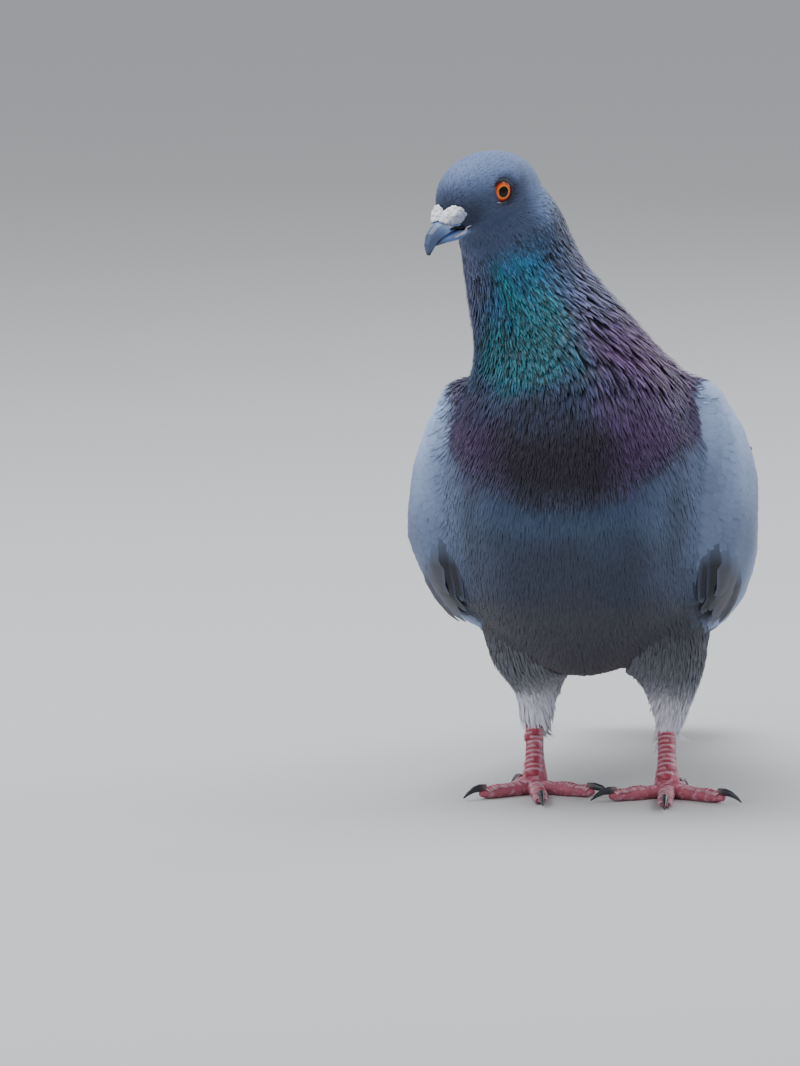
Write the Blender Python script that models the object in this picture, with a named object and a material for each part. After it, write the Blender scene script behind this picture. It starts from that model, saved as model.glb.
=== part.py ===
"""A rock pigeon that stands on both feet and turns its head to its own right, life size.

Metres, +Z up. The breast faces -Y and the bird's left is +X. Shapes are laid out in millimetres
about a point on the floor between the feet, in two frames:

* the body frame, turned a little to the bird's right about the upright axis;
* the head frame, whose origin lies midway between the eyes.

Both measure forward, left and up. The finished bird is then slid along the floor until the
origin is under the middle of its bounding box, with its soles on Z = 0. Head, neck and trunk are
modelled whole, as overlapping lofts that a Remesh fuses and smooths, and are parted by thin cuts.
"""

import math
from collections import namedtuple

import bmesh
import bpy
import numpy as np
from mathutils import Matrix, Vector

MM = 0.001
GAP = 0.3 * MM  # air left between neighbouring solids

# Driving dimensions, in millimetres and degrees.
BODY_TURN = 7.0  # the breast turns this far to the bird's right
HEAD_TURN = 37.0  # and the bill this far
HEAD_DIP = 14.0
HEAD_PLACE = (-39.6, -29.5, 195.4)  # midway between the eyes: X, Y, Z
EYE_OUT = 9.2  # the eyeball's middle, from the head's middle plane
EYE_TURN = 19.0  # each eye looks this far ahead of square
EYE_RADIUS = 4.2
EYE_DEPTH = 3.4
FOOT_SPREAD = 21.0  # each foot's middle, from X = 0
TOE_RADIUS = 2.5
TAIL_LENGTH = 104.0
TAIL_DROP = 17.0  # the tail's slope below level
TAIL_FEATHERS = 12
SIDES = {"left": 1, "right": -1}

Station = namedtuple("Station", "forward side height width up down")
# Spine stations of the trunk and neck, from the tail root to inside the head: the middle, the
# half width, and the half depths towards the back and the breast.
SPINE = (
    Station(-92, -2.5, 62, 9, 5, 6),
    Station(-82, -3, 64.5, 15, 11, 10),
    Station(-66, -3.5, 68, 22.5, 22, 19),
    Station(-44, -4, 73, 31.5, 33, 30),
    Station(-20, -4.5, 79, 39.5, 41, 40),
    Station(4, -5, 89, 43.5, 41, 43.5),
    Station(20, -5.5, 103, 43.5, 42, 41.5),
    Station(26, -6.6, 119, 39.5, 35, 36.5),
    Station(25, -9.8, 135, 32.5, 27, 29.5),
    Station(22, -14.8, 149, 25, 20.5, 24),
    Station(20, -20.6, 161.5, 20.6, 16.5, 20),
    Station(20.5, -24.6, 173.5, 18.7, 13.6, 16.5),
    Station(21.5, -26.6, 183.5, 17.5, 12.2, 14.5),
    Station(22, -27, 191, 13.5, 11, 10),
    Station(22, -27.5, 197, 7, 6, 6),
)
# Head stations along the head frame's forward axis, from the nape to the face.
SKULL = (
    Station(-22.8, 0, -2.5, 3, 3, 3),
    Station(-20.5, 0, -2.5, 8.2, 7.2, 7.6),
    Station(-15.5, 0, -2.2, 11.4, 9.4, 11.2),
    Station(-8, 0, -1.4, 12.5, 10.6, 12.2),
    Station(0, 0, -0.5, 12.3, 10.8, 12.2),
    Station(6, 0, -0.4, 11, 10, 11.4),
    Station(11, 0, -1.4, 8.9, 8.1, 9.6),
    Station(15, 0, -3.6, 6.2, 5.0, 7.2),
    Station(18, 0, -4.8, 4.2, 2.6, 5.0),
    Station(19.5, 0, -5.4, 1.6, 1.0, 1.6),
)
BILL_UPPER = (
    Station(11, 0, -5.4, 4.2, 3.4, 1.6),
    Station(15, 0, -5.8, 4.7, 3.8, 1.3),
    Station(19.5, 0, -6.2, 4.1, 3.4, 1.2),
    Station(22.8, 0, -6.9, 3.2, 3.1, 1.0),
    Station(25.6, 0, -7.6, 2.6, 2.9, 1.1),
    Station(27.8, 0, -8.8, 2.0, 2.5, 1.5),
    Station(29.3, 0, -10.5, 1.2, 1.6, 1.5),
    Station(29.8, 0, -12.1, 0.5, 0.7, 0.6),
)
BILL_LOWER = (
    Station(10, 0, -9.0, 3.4, 1.0, 2.2),
    Station(15, 0, -8.9, 4.2, 1.3, 2.6),
    Station(20, 0, -8.8, 3.4, 1.1, 2.2),
    Station(24, 0, -9.0, 2.3, 0.8, 1.5),
    Station(27, 0, -9.5, 1.2, 0.5, 0.8),
    Station(28.2, 0, -9.8, 0.4, 0.2, 0.3),
)
# The two white swellings of the cere, each an ellipsoid: middle, half sizes and outward turn.
CERE_MIDDLE = (16.6, 2.6, -2.9)
CERE_SIZE = (7.6, 3.2, 3.4)
CERE_TURN = 19.0
CERE_DIP = 19.0

# Folded wing stations: the outer face is an arc of an upright ellipse about a middle, between
# two angles above the level; thick is the wing's thickness there.
WingStation = namedtuple("WingStation", "forward side height width depth top bottom thick")
WING = (
    WingStation(38, 8, 100, 32, 32, 14, -10, 2),
    WingStation(35, 7, 101, 38.5, 35, 36, -28, 5),
    WingStation(24, 5.5, 101, 46, 41, 58, -56, 9),
    WingStation(8, 5, 97, 50.2, 44, 66, -68, 10),
    WingStation(-15, 4, 89, 50.5, 43, 69, -70, 9.5),
    WingStation(-40, 3, 79.5, 44, 37, 74, -62, 8),
    WingStation(-70, 2, 69, 34, 29, 78, -50, 6),
    WingStation(-98, 1, 60, 25, 23, 79, -30, 4.2),
    WingStation(-125, 1, 52.5, 17.5, 18, 77, 2, 3),
    WingStation(-150, 1, 45, 11.5, 12.5, 68, 12, 2),
    WingStation(-167, 1.5, 41, 7, 7.5, 50, 16, 1.2),
)
WING_BULGE_ABOVE, WING_BULGE_BELOW = 2.6, 3.0  # superellipse exponents of the outer face
WING_MIDDLE = -4.6  # the side that the two wings lie evenly about
WING_TUCK = 5.5  # how far the top edge dips to meet the back
TRUNK_BULGE = 2.3  # superellipse exponent of the trunk's sections
PRIMARIES_FROM = -104.0  # the primaries show behind this plane, in the body frame
PRIMARIES_SLANT = 24.0

# Feathered thigh: from inside the trunk to the cuff above the scaled shank.
THIGH = (
    Station(2, 20, 68, 14, 22, 22),
    Station(-2, 22, 56, 15, 20, 20),
    Station(-6.5, 22.4, 46, 13.2, 15.5, 15.5),
    Station(-9.5, 22, 37, 10, 11, 11),
    Station(-11, 21.5, 29, 7, 7.6, 7.6),
    Station(-11, 21.2, 22.5, 4.6, 4.8, 4.8),
    Station(-10.6, 21.1, 19.8, 2.8, 3.0, 3.0),
)
# Ball of the foot, forward of X axis, for each side: the left foot stands a little ahead.
FOOT_FORWARD = {"left": 3.0, "right": -7.0}

Toe = namedtuple("Toe", "name turn length claw")
TOES = (
    Toe("middle", -3, 28.0, 8.0),
    Toe("inner", -60, 20.5, 7.0),
    Toe("outer", 50, 22.0, 7.0),
    Toe("hind", 158, 12.0, 6.5),
)

Finish = namedtuple("Finish", "color roughness metallic")
FINISHES = {
    "blue_grey_plumage": Finish((0.13, 0.17, 0.25), 0.7, 0),
    "neck_plumage": Finish((0.05, 0.13, 0.17), 0.45, 0),
    "breast_plumage": Finish((0.10, 0.13, 0.18), 0.7, 0),
    "wing_plumage": Finish((0.27, 0.33, 0.43), 0.65, 0),
    "flight_feather": Finish((0.07, 0.08, 0.10), 0.55, 0),
    "tail_feather": Finish((0.09, 0.11, 0.15), 0.55, 0),
    "thigh_plumage": Finish((0.18, 0.21, 0.26), 0.75, 0),
    "eye": Finish((0.70, 0.12, 0.02), 0.08, 0),
    "cere": Finish((0.76, 0.76, 0.78), 0.7, 0),
    "bill": Finish((0.07, 0.09, 0.13), 0.4, 0),
    "leg_skin": Finish((0.45, 0.09, 0.11), 0.5, 0),
    "claw": Finish((0.02, 0.022, 0.026), 0.3, 0),
}


def turned_about(axis, degrees):
    """Returns a 4 x 4 turn about a world axis."""
    return Matrix.Rotation(math.radians(degrees), 4, axis)


# Both frames hold forward, left and up in place of -Y, +X and +Z.
FORWARD_LEFT_UP = Matrix(((0, 1, 0, 0), (-1, 0, 0, 0), (0, 0, 1, 0), (0, 0, 0, 1)))
BODY_FRAME = turned_about("Z", -BODY_TURN) @ FORWARD_LEFT_UP
HEAD_FRAME = (
    Matrix.Translation(Vector(HEAD_PLACE))
    @ turned_about("Z", -HEAD_TURN)
    @ turned_about("X", HEAD_DIP)
    @ FORWARD_LEFT_UP
)


def clear_scene():
    for obj in list(bpy.data.objects):
        bpy.data.objects.remove(obj, do_unlink=True)


def material(finish_name):
    """Returns the Principled material of a named finish, made on first use."""
    found = bpy.data.materials.get(finish_name)
    if found:
        return found
    finish = FINISHES[finish_name]
    made = bpy.data.materials.new(finish_name)
    made.use_nodes = True
    shader = made.node_tree.nodes["Principled BSDF"]
    shader.inputs["Base Color"].default_value = (*finish.color, 1)
    shader.inputs["Roughness"].default_value = finish.roughness
    shader.inputs["Metallic"].default_value = finish.metallic
    made.diffuse_color = (*finish.color, 1)
    return made


def piece(name, points, faces, frame=None, finish=None):
    """Makes an object from millimetre points in a frame, with its faces turned outwards."""
    mesh = bpy.data.meshes.new(name)
    to_world = Matrix.Scale(MM, 4) @ (frame or Matrix.Identity(4))
    mesh.from_pydata([to_world @ Vector(p) for p in points], [], faces)
    shape = bmesh.new()
    shape.from_mesh(mesh)
    bmesh.ops.recalc_face_normals(shape, faces=shape.faces)
    shape.to_mesh(mesh)
    shape.free()
    mesh.shade_smooth()
    obj = bpy.data.objects.new(name, mesh)
    bpy.context.scene.collection.objects.link(obj)
    if finish:
        mesh.materials.append(material(finish))
    return obj


def spline(rows, count):
    """Samples a smooth curve through rows, at count places evenly along its first three columns."""
    rows = np.array(rows, float)
    ends = np.vstack([2 * rows[0] - rows[1], rows, 2 * rows[-1] - rows[-2]])
    dense = []
    for before, start, end, after in zip(ends, ends[1:], ends[2:], ends[3:]):
        for t in np.linspace(0, 1, 16, endpoint=False):
            dense.append(
                0.5
                * (
                    2 * start
                    + (end - before) * t
                    + (2 * before - 5 * start + 4 * end - after) * t**2
                    + (3 * start - before - 3 * end + after) * t**3
                )
            )
    dense = np.array(dense + [rows[-1]])
    steps = np.linalg.norm(np.diff(dense[:, :3], axis=0), axis=1)
    along = np.concatenate([[0], np.cumsum(steps)])
    wanted = np.linspace(0, along[-1], count)
    return np.stack([np.interp(wanted, along, column) for column in dense.T], axis=1)


def ring_faces(rings, sides):
    """Faces of a tube of rings, each of sides points, with a pole point after them at each end."""
    faces = []
    for ring in range(rings - 1):
        for i in range(sides):
            j = (i + 1) % sides
            a, b = ring * sides, (ring + 1) * sides
            faces.append((a + i, a + j, b + j, b + i))
    first, last, end = rings * sides, rings * sides + 1, (rings - 1) * sides
    for i in range(sides):
        j = (i + 1) % sides
        faces.append((first, j, i))
        faces.append((last, end + i, end + j))
    return faces


def loft(name, stations, rings, sides, frame, finish=None, bulge=2.0):
    """Skins elliptical sections set square to the line through the stations' middles.

    A section's width runs sideways, up and down are its half depths above and below, and bulge
    is the exponent of its superellipse.
    """
    rows = spline(stations, rings)
    middles = rows[:, :3]
    tangents = np.gradient(middles, axis=0)
    points = []
    for middle, tangent, (width, up, down) in zip(middles, tangents, rows[:, 3:6]):
        along = Vector(tangent).normalized()
        left = Vector((0, 1, 0))
        left = (left - along * left.dot(along)).normalized()
        above = along.cross(left)
        for i in range(sides):
            angle = math.tau * i / sides
            depth = up if math.sin(angle) > 0 else down
            points.append(
                Vector(middle)
                + left * (width * bulged(math.cos(angle), bulge))
                + above * (depth * bulged(math.sin(angle), bulge))
            )
    points += [Vector(middles[0]), Vector(middles[-1])]
    return piece(name, points, ring_faces(rings, sides), frame, finish)


def plate(name, outer, inner, frame, finish=None):
    """Closes two equal grids of points, outer and inner, into one thin solid."""
    rows, columns = len(outer), len(outer[0])
    points = [p for grid in (outer, inner) for row in grid for p in row]
    under = rows * columns
    faces = []
    for r in range(rows - 1):
        for c in range(columns - 1):
            a = r * columns + c
            b = a + columns
            faces.append((a, a + 1, b + 1, b))
            faces.append((under + a, under + b, under + b + 1, under + a + 1))
    rim = [(0, c) for c in range(columns - 1)]
    rim += [(r, columns - 1) for r in range(rows - 1)]
    rim += [(rows - 1, c) for c in range(columns - 1, 0, -1)]
    rim += [(r, 0) for r in range(rows - 1, 0, -1)]
    for (r0, c0), (r1, c1) in zip(rim, rim[1:] + rim[:1]):
        a, b = r0 * columns + c0, r1 * columns + c1
        faces.append((b, a, under + a, under + b))
    return piece(name, points, faces, frame, finish)


def evaluated_copy(obj, name, finish=None):
    """Freezes an object's modifiers into a new object."""
    bpy.context.view_layer.update()
    graph = bpy.context.evaluated_depsgraph_get()
    mesh = bpy.data.meshes.new_from_object(obj.evaluated_get(graph))
    mesh.name = name
    mesh.materials.clear()
    made = bpy.data.objects.new(name, mesh)
    bpy.context.scene.collection.objects.link(made)
    if finish:
        mesh.materials.append(material(finish))
    return made


def remove(*objects):
    for obj in objects:
        bpy.data.objects.remove(obj, do_unlink=True)


def fused(name, parts, voxel, smooth_rounds, keep_share, finish=None):
    """Fuses overlapping closed shapes into one smooth skin, thinned to keep_share of its faces."""
    shape = bmesh.new()
    for part in parts:
        shape.from_mesh(part.data)
    mesh = bpy.data.meshes.new("fused")
    shape.to_mesh(mesh)
    shape.free()
    whole = bpy.data.objects.new("fused", mesh)
    bpy.context.scene.collection.objects.link(whole)
    remesh = whole.modifiers.new("Fuse", "REMESH")
    remesh.mode = "VOXEL"
    remesh.voxel_size = voxel * MM
    smooth = whole.modifiers.new("Soften", "SMOOTH")
    smooth.factor = 0.5
    smooth.iterations = smooth_rounds
    thin = whole.modifiers.new("Thin", "DECIMATE")
    thin.ratio = keep_share
    made = evaluated_copy(whole, name, finish)
    remove(whole, *parts)
    return made


def cut_by_plane(obj, point, normal, keep_front):
    """Cuts an object at a plane, keeps one side, and closes the cut."""
    shape = bmesh.new()
    shape.from_mesh(obj.data)
    bmesh.ops.bisect_plane(
        shape,
        geom=shape.verts[:] + shape.edges[:] + shape.faces[:],
        dist=1e-7,
        plane_co=point,
        plane_no=normal,
        clear_inner=keep_front,
        clear_outer=not keep_front,
    )
    rim = [edge for edge in shape.edges if edge.is_boundary]
    bmesh.ops.triangle_fill(shape, edges=rim, use_beauty=True)
    bmesh.ops.recalc_face_normals(shape, faces=shape.faces)
    shape.to_mesh(obj.data)
    shape.free()


def part_at_plane(whole, name, finish, point, normal):
    """Takes what lies in front of a plane off the whole, as a new named piece with a thin gap."""
    taken = evaluated_copy(whole, name, finish)
    step = Vector(normal).normalized() * (GAP / 2)
    cut_by_plane(taken, Vector(point) + step, normal, True)
    cut_by_plane(whole, Vector(point) - step, normal, False)
    keep_largest(taken)
    keep_largest(whole)
    return taken


def swollen(obj):
    """A hidden copy of an object, grown by the gap on every side, to cut its neighbours with."""
    grown = evaluated_copy(obj, obj.name + "_swollen")
    points = [v.co + v.normal * (1.4 * GAP) for v in grown.data.vertices]
    for vertex, point in zip(grown.data.vertices, points):
        vertex.co = point
    grown.hide_render = True
    grown.display_type = "WIRE"
    return grown


def keep_largest(obj):
    """Removes every loose island of an object but the largest."""
    shape = bmesh.new()
    shape.from_mesh(obj.data)
    left, islands = set(shape.verts), []
    while left:
        island, todo = set(), [left.pop()]
        while todo:
            vertex = todo.pop()
            island.add(vertex)
            for edge in vertex.link_edges:
                other = edge.other_vert(vertex)
                if other in left:
                    left.discard(other)
                    todo.append(other)
        islands.append(island)
    biggest = max(islands, key=len)
    bmesh.ops.delete(shape, geom=[v for v in shape.verts if v not in biggest])
    shape.to_mesh(obj.data)
    shape.free()


def carve(obj, *cutters, solver="EXACT"):
    """Cuts a piece back from its neighbours, so that it meets them with a thin gap."""
    for cutter in cutters:
        cut = obj.modifiers.new("Meet " + cutter.name, "BOOLEAN")
        cut.operation = "DIFFERENCE"
        cut.solver = solver
        cut.object = cutter
    return settle(obj)


def settle(obj):
    """Replaces a piece by its evaluated mesh, under the same name and finish."""
    name, finish = obj.name, obj.data.materials[0].name
    obj.name = name + "_raw"
    made = evaluated_copy(obj, name, finish)
    remove(obj)
    keep_largest(made)
    made.data.shade_smooth()
    return made


def body_point(forward, side, height):
    """A body frame point in world metres."""
    return BODY_FRAME @ Vector((forward, side, height)) * MM


def head_point(forward, side, height):
    return HEAD_FRAME @ Vector((forward, side, height)) * MM


def make_flesh():
    """The trunk, neck and skull, fused."""
    trunk = loft("trunk_form", SPINE, 44, 40, BODY_FRAME, bulge=TRUNK_BULGE)
    skull = loft("skull_form", SKULL, 22, 32, HEAD_FRAME)
    return fused("flesh", [trunk, skull], voxel=1.5, smooth_rounds=14, keep_share=0.034)


def thigh_stations(side):
    """Thigh stations of one side, moved ahead or back with its foot towards the cuff."""
    moved = []
    for station in THIGH:
        share = min(1.0, (66 - station.height) / 30)
        ahead = FOOT_FORWARD[side] * share
        lean = -3.4 * (1 - share)  # the trunk leans over the right foot
        moved.append(
            station._replace(
                forward=station.forward + ahead, side=station.side * SIDES[side] + lean
            )
        )
    return moved


def part_flesh(whole):
    """Parts the flesh by thin flat cuts into head, neck and trunk."""
    nape = head_point(-13, 0, -12)
    along_neck = head_point(0, 0, 0) - body_point(19, -19.5, 165)
    part_at_plane(whole, "head", "blue_grey_plumage", nape, along_neck)
    collar = body_point(24, -11, 138)
    part_at_plane(whole, "neck", "neck_plumage", collar, Vector((-0.2, -0.08, 1)))
    trunk = evaluated_copy(whole, "trunk", "breast_plumage")
    remove(whole)
    return trunk


def make_thighs(trunk):
    """Both feathered thighs, carved to meet the belly."""
    belly = swollen(trunk)
    for side in SIDES:
        name = "thigh_" + side
        thigh = loft(name, thigh_stations(side), 8, 12, BODY_FRAME, "thigh_plumage")
        carve(thigh, belly)
    remove(belly)


def make_eyes(head):
    """Sets two flattened eyeballs into sockets of the head."""
    sockets = []
    for side, sign in SIDES.items():
        place = (
            HEAD_FRAME
            @ Matrix.Translation((0, sign * EYE_OUT, 0))
            @ turned_about("Z", -sign * EYE_TURN)
        )
        points, faces = ball((EYE_RADIUS, EYE_DEPTH, EYE_RADIUS), 12, 7)
        eye = piece("eye_" + side, points, faces, place, "eye")
        sockets.append(swollen(eye))
    carve(head, *sockets)
    remove(*sockets)


def ball(half_sizes, around, rows):
    """Points and faces of an ellipsoid about the origin, with its poles on the second axis."""
    points = []
    for row in range(1, rows):
        polar = math.pi * row / rows
        for i in range(around):
            angle = math.tau * i / around
            unit = (
                math.sin(polar) * math.cos(angle),
                math.cos(polar),
                math.sin(polar) * math.sin(angle),
            )
            points.append([u * h for u, h in zip(unit, half_sizes)])
    points += [(0, half_sizes[1], 0), (0, -half_sizes[1], 0)]
    return points, ring_faces(rows - 1, around)


def make_bill(head):
    """The upper and lower bill and the cere over its base, each meeting the face."""
    face = swollen(head)
    upper = carve(loft("bill_upper", BILL_UPPER, 9, 12, HEAD_FRAME, "bill"), face)
    culmen = swollen(upper)
    carve(loft("bill_lower", BILL_LOWER, 7, 10, HEAD_FRAME, "bill"), face, culmen)
    lobes = []
    for sign in SIDES.values():
        forward, side, height = CERE_MIDDLE
        place = (
            HEAD_FRAME
            @ Matrix.Translation((forward, sign * side, height))
            @ turned_about("Z", -sign * CERE_TURN)
            @ turned_about("Y", CERE_DIP)
        )
        points, faces = ball(CERE_SIZE, 12, 8)
        lobes.append(piece("lobe", points, faces, place, "cere"))
    cere = fused("cere", lobes, voxel=0.7, smooth_rounds=2, keep_share=0.25, finish="cere")
    carve(cere, face, culmen)
    remove(face, culmen)


def bulged(value, exponent):
    """A cosine or sine reshaped for a superellipse of that exponent."""
    return math.copysign(abs(value) ** (2 / exponent), value)


def wing_faces(sign, rows, columns):
    """Outer and inner point grids of one folded wing, in the body frame.

    The wing is thick along its top edge, where it is later carved back to the trunk, and thins
    to a free edge below.
    """
    stations = spline(WING, rows)
    outer, inner = [], []
    for forward, side, height, width, depth, top, bottom, thick in stations:
        outer_row, inner_row = [], []
        for share in np.linspace(0, 1, columns):
            angle = math.radians(top + (bottom - top) * share)
            bulge = WING_BULGE_ABOVE if angle > 0 else WING_BULGE_BELOW
            across, upright = (bulged(f(angle), bulge) for f in (math.cos, math.sin))
            tuck = WING_TUCK * max(0.0, 1 - share / 0.2) ** 2 * min(1.0, thick / 9)
            free = max(0.0, (share - 0.72) / 0.28)
            reach = thick * (1.5 - 0.5 * min(1.0, share / 0.3)) * math.sqrt(1 - 0.96 * free**2)
            for row, depth_in in ((outer_row, tuck), (inner_row, max(reach, 0.8) + tuck)):
                row.append(
                    (
                        forward,
                        sign * (side + (width - depth_in) * across) + WING_MIDDLE,
                        height + (depth - depth_in) * upright,
                    )
                )
        outer.append(outer_row)
        inner.append(inner_row)
    return outer, inner


def make_wings(*carriers):
    """Both folded wings, cut clear of the body, the primaries parted off at a slanted plane."""
    shapes = [swollen(carrier) for carrier in carriers]
    for side, sign in SIDES.items():
        outer, inner = wing_faces(sign, rows=15, columns=8)
        wing = plate("wing_" + side, outer, inner, BODY_FRAME, "wing_plumage")
        # The wing grazes the breast at its front, where the EXACT solver loses it.
        wing = carve(wing, *shapes, solver="MANIFOLD")
        back = body_point(PRIMARIES_FROM, sign * 10 - 5, 60)
        slant = turned_about("Z", sign * PRIMARIES_SLANT)
        backwards = (BODY_FRAME @ slant).to_3x3() @ Vector((-1, 0, 0.25))
        part_at_plane(wing, "primaries_" + side, "flight_feather", back, backwards)
    remove(*shapes)


def make_tail(trunk):
    """The folded tail: a shallow arch of twelve feathers with a round, notched end."""
    root = Vector((-80, -3, 64))
    slope = math.radians(TAIL_DROP)
    backwards = Vector((-math.cos(slope), 0, -math.sin(slope)))
    above = Vector((-math.sin(slope), 0, math.cos(slope)))
    columns, rows = 3 * TAIL_FEATHERS + 1, 4
    top, bottom = [], []
    for r in range(rows):
        share = r / (rows - 1)
        top_row, bottom_row = [], []
        for c in range(columns):
            across = 2 * c / (columns - 1) - 1
            notch = abs(math.sin(math.pi * TAIL_FEATHERS * (across + 1) / 2))
            length = TAIL_LENGTH - 9 * across**2 - 3.5 * (1 - notch)
            half_width = 10 + 13 * share**0.8
            arch = 5.0 * (1 - 0.4 * share) * (1 - across**2)
            ridge = 0.5 * notch
            thick = 3.4 - 2.4 * share
            middle = root + backwards * (length * share) + Vector((0, half_width * across, 0))
            top_row.append(middle + above * (arch + ridge))
            bottom_row.append(middle + above * (arch - thick))
        top.append(top_row)
        bottom.append(bottom_row)
    tail = plate("tail", top, bottom, BODY_FRAME, "tail_feather")
    rump = swollen(trunk)
    carve(tail, rump)
    remove(rump)


def foot_frame(side):
    """Frame of one foot: forward along its middle toe's neutral line, about its ball on the floor."""
    sign = SIDES[side]
    place = Vector((sign * FOOT_SPREAD, -FOOT_FORWARD[side], 0))
    return Matrix.Translation(place) @ FORWARD_LEFT_UP


def make_leg(side):
    """One scaled shank, four toes with flat soles, and their claws."""
    sign = SIDES[side]
    frame = foot_frame(side)
    thigh = bpy.data.objects["thigh_" + side]
    cuff = swollen(thigh)
    shank_rows = (
        Station(-10.5, 0, 27, 2.6, 2.8, 2.8),
        Station(-9.5, 0, 21, 2.9, 3.2, 3.2),
        Station(-6.5, 0, 14, 2.8, 3.1, 3.1),
        Station(-3.5, 0, 8.5, 3.3, 3.4, 3.4),
        Station(-1.2, 0, 5.0, 4.2, 3.9, 3.9),
        Station(-0.4, 0, 2.6, 3.6, 3.4, 3.4),
        Station(-0.2, 0, 0.9, 2.2, 2.0, 2.0),
    )
    shank = loft("shank_" + side, shank_rows, 9, 10, frame, "leg_skin")
    shank = carve(shank, cuff)
    neighbours = [swollen(shank)]
    for toe in TOES:
        aim = frame @ turned_about("Z", sign * toe.turn)
        neighbours.append(make_toe(f"{toe.name}_{side}", toe, aim, neighbours))
    remove(cuff, *neighbours)


def make_toe(name, toe, aim, neighbours):
    """A padded toe along the floor, cut flat beneath, with its curved claw.

    It is carved to meet what is already in the foot, and its own swollen copy is returned.
    """
    start = 1.0
    rows = []
    count = 8
    joints = 2 if toe.name in ("inner", "hind") else 3
    for i in range(count):
        share = i / (count - 1)
        pads = 0.16 * math.cos(math.tau * joints * share)
        taper = 1.02 - 0.2 * share
        end = math.sqrt(max(0.05, 1 - max(0.0, (share - 0.86) / 0.15) ** 2))
        radius = TOE_RADIUS * taper * (1 + pads) * end
        height = 2.0 - 0.25 * share
        rows.append((start + toe.length * share, 0, height, radius, radius, radius))
    finger = loft("toe_" + name, rows, 8, 8, aim, "leg_skin")
    # Three toes crowd the hind one's root, where the EXACT solver leaves it open.
    finger = carve(finger, *neighbours, solver="MANIFOLD")
    cut_by_plane(finger, Vector((0, 0, 0)), Vector((0, 0, 1)), True)
    tip = swollen(finger)
    claw_rows = []
    for i in range(6):
        share = i / 5
        forward = start + toe.length - 2.2 + (toe.claw + 2.2) * share
        height = 3.4 + 0.7 * math.sin(math.pi * 0.8 * share) - 2.9 * share**2
        radius = 1.55 * (1 - 0.82 * share**1.5)
        claw_rows.append((forward, 0, height, radius * 0.8, radius, radius))
    carve(loft("claw_" + name, claw_rows, 5, 6, aim, "claw"), tip)
    return tip


def centre_on_floor():
    """Slides the whole bird until the origin is at the middle of its bounding box's base."""
    corners = [v.co for obj in bpy.data.objects for v in obj.data.vertices]
    low = Vector([min(c[axis] for c in corners) for axis in range(3)])
    high = Vector([max(c[axis] for c in corners) for axis in range(3)])
    slide = Matrix.Translation(Vector((-(low.x + high.x) / 2, -(low.y + high.y) / 2, -low.z)))
    for obj in bpy.data.objects:
        obj.data.transform(slide)


def main():
    clear_scene()
    whole = make_flesh()
    trunk = part_flesh(whole)
    head = bpy.data.objects["head"]
    make_eyes(head)
    make_bill(bpy.data.objects["head"])
    make_thighs(trunk)
    thighs = [bpy.data.objects["thigh_" + side] for side in SIDES]
    neck = bpy.data.objects["neck"]
    make_tail(trunk)
    make_wings(trunk, neck, *thighs, bpy.data.objects["tail"])
    for side in SIDES:
        make_leg(side)
    centre_on_floor()


main()
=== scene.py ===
"""Dresses the standing rock pigeon: skin, feathers, eyes, bill, feet, light and camera.

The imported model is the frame. One skin takes the place of the flesh, inside it by the plumage's
depth, and the feathers lie over the skin as thin closed vanes.
"""

import logging
import math
from dataclasses import dataclass
from enum import Enum
from functools import cache, partial
from itertools import product
from typing import Callable

import bmesh
import bpy
import numpy as np
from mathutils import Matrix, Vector
from mathutils.bvhtree import BVHTree

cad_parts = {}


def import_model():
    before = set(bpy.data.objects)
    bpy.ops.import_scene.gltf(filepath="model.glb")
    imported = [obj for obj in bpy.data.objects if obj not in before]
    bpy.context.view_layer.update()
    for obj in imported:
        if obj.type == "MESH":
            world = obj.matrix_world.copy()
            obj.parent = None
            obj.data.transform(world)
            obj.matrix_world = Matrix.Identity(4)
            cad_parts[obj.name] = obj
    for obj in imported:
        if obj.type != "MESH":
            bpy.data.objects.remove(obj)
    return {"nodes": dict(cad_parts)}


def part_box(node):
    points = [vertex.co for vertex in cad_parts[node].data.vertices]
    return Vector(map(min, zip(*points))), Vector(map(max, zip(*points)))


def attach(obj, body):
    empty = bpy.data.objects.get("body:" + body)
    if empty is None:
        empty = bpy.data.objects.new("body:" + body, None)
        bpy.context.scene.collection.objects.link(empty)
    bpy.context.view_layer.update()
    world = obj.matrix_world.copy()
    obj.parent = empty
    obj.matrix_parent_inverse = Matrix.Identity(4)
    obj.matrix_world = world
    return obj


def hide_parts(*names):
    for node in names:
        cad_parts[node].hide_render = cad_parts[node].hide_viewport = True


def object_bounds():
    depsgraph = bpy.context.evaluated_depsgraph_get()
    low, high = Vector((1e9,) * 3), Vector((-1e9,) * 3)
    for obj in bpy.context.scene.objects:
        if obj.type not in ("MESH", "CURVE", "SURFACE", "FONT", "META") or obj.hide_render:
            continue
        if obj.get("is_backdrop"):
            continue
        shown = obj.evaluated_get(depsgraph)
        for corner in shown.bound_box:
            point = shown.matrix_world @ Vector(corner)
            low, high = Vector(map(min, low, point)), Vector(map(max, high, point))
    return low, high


LOG = logging.getLogger("pigeon")
MM = 0.001
BODY = "root"
SIDES = {"left": 1.0, "right": -1.0}

# The body's turn about the vertical and the head's dip, in degrees.
BODY_TURN = -7.0
HEAD_DIP = 14.0

# From the middle of the trunk's box to the body's origin, and the line midway between the wings.
BODY_SHIFT = (6.67, -15.7)
MIDLINE = -4.6

# How wide one feather is on the bake map, as a share of the map.
PATCH = 0.003

Points = np.ndarray
Faces = list[tuple[int, ...]]
Colour = tuple[float, float, float]
Obj = bpy.types.Object
Material = bpy.types.Material
Node = bpy.types.Node
Socket = bpy.types.NodeSocket
Tree = bpy.types.NodeTree
NodeMap = dict[str, Obj]


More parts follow.
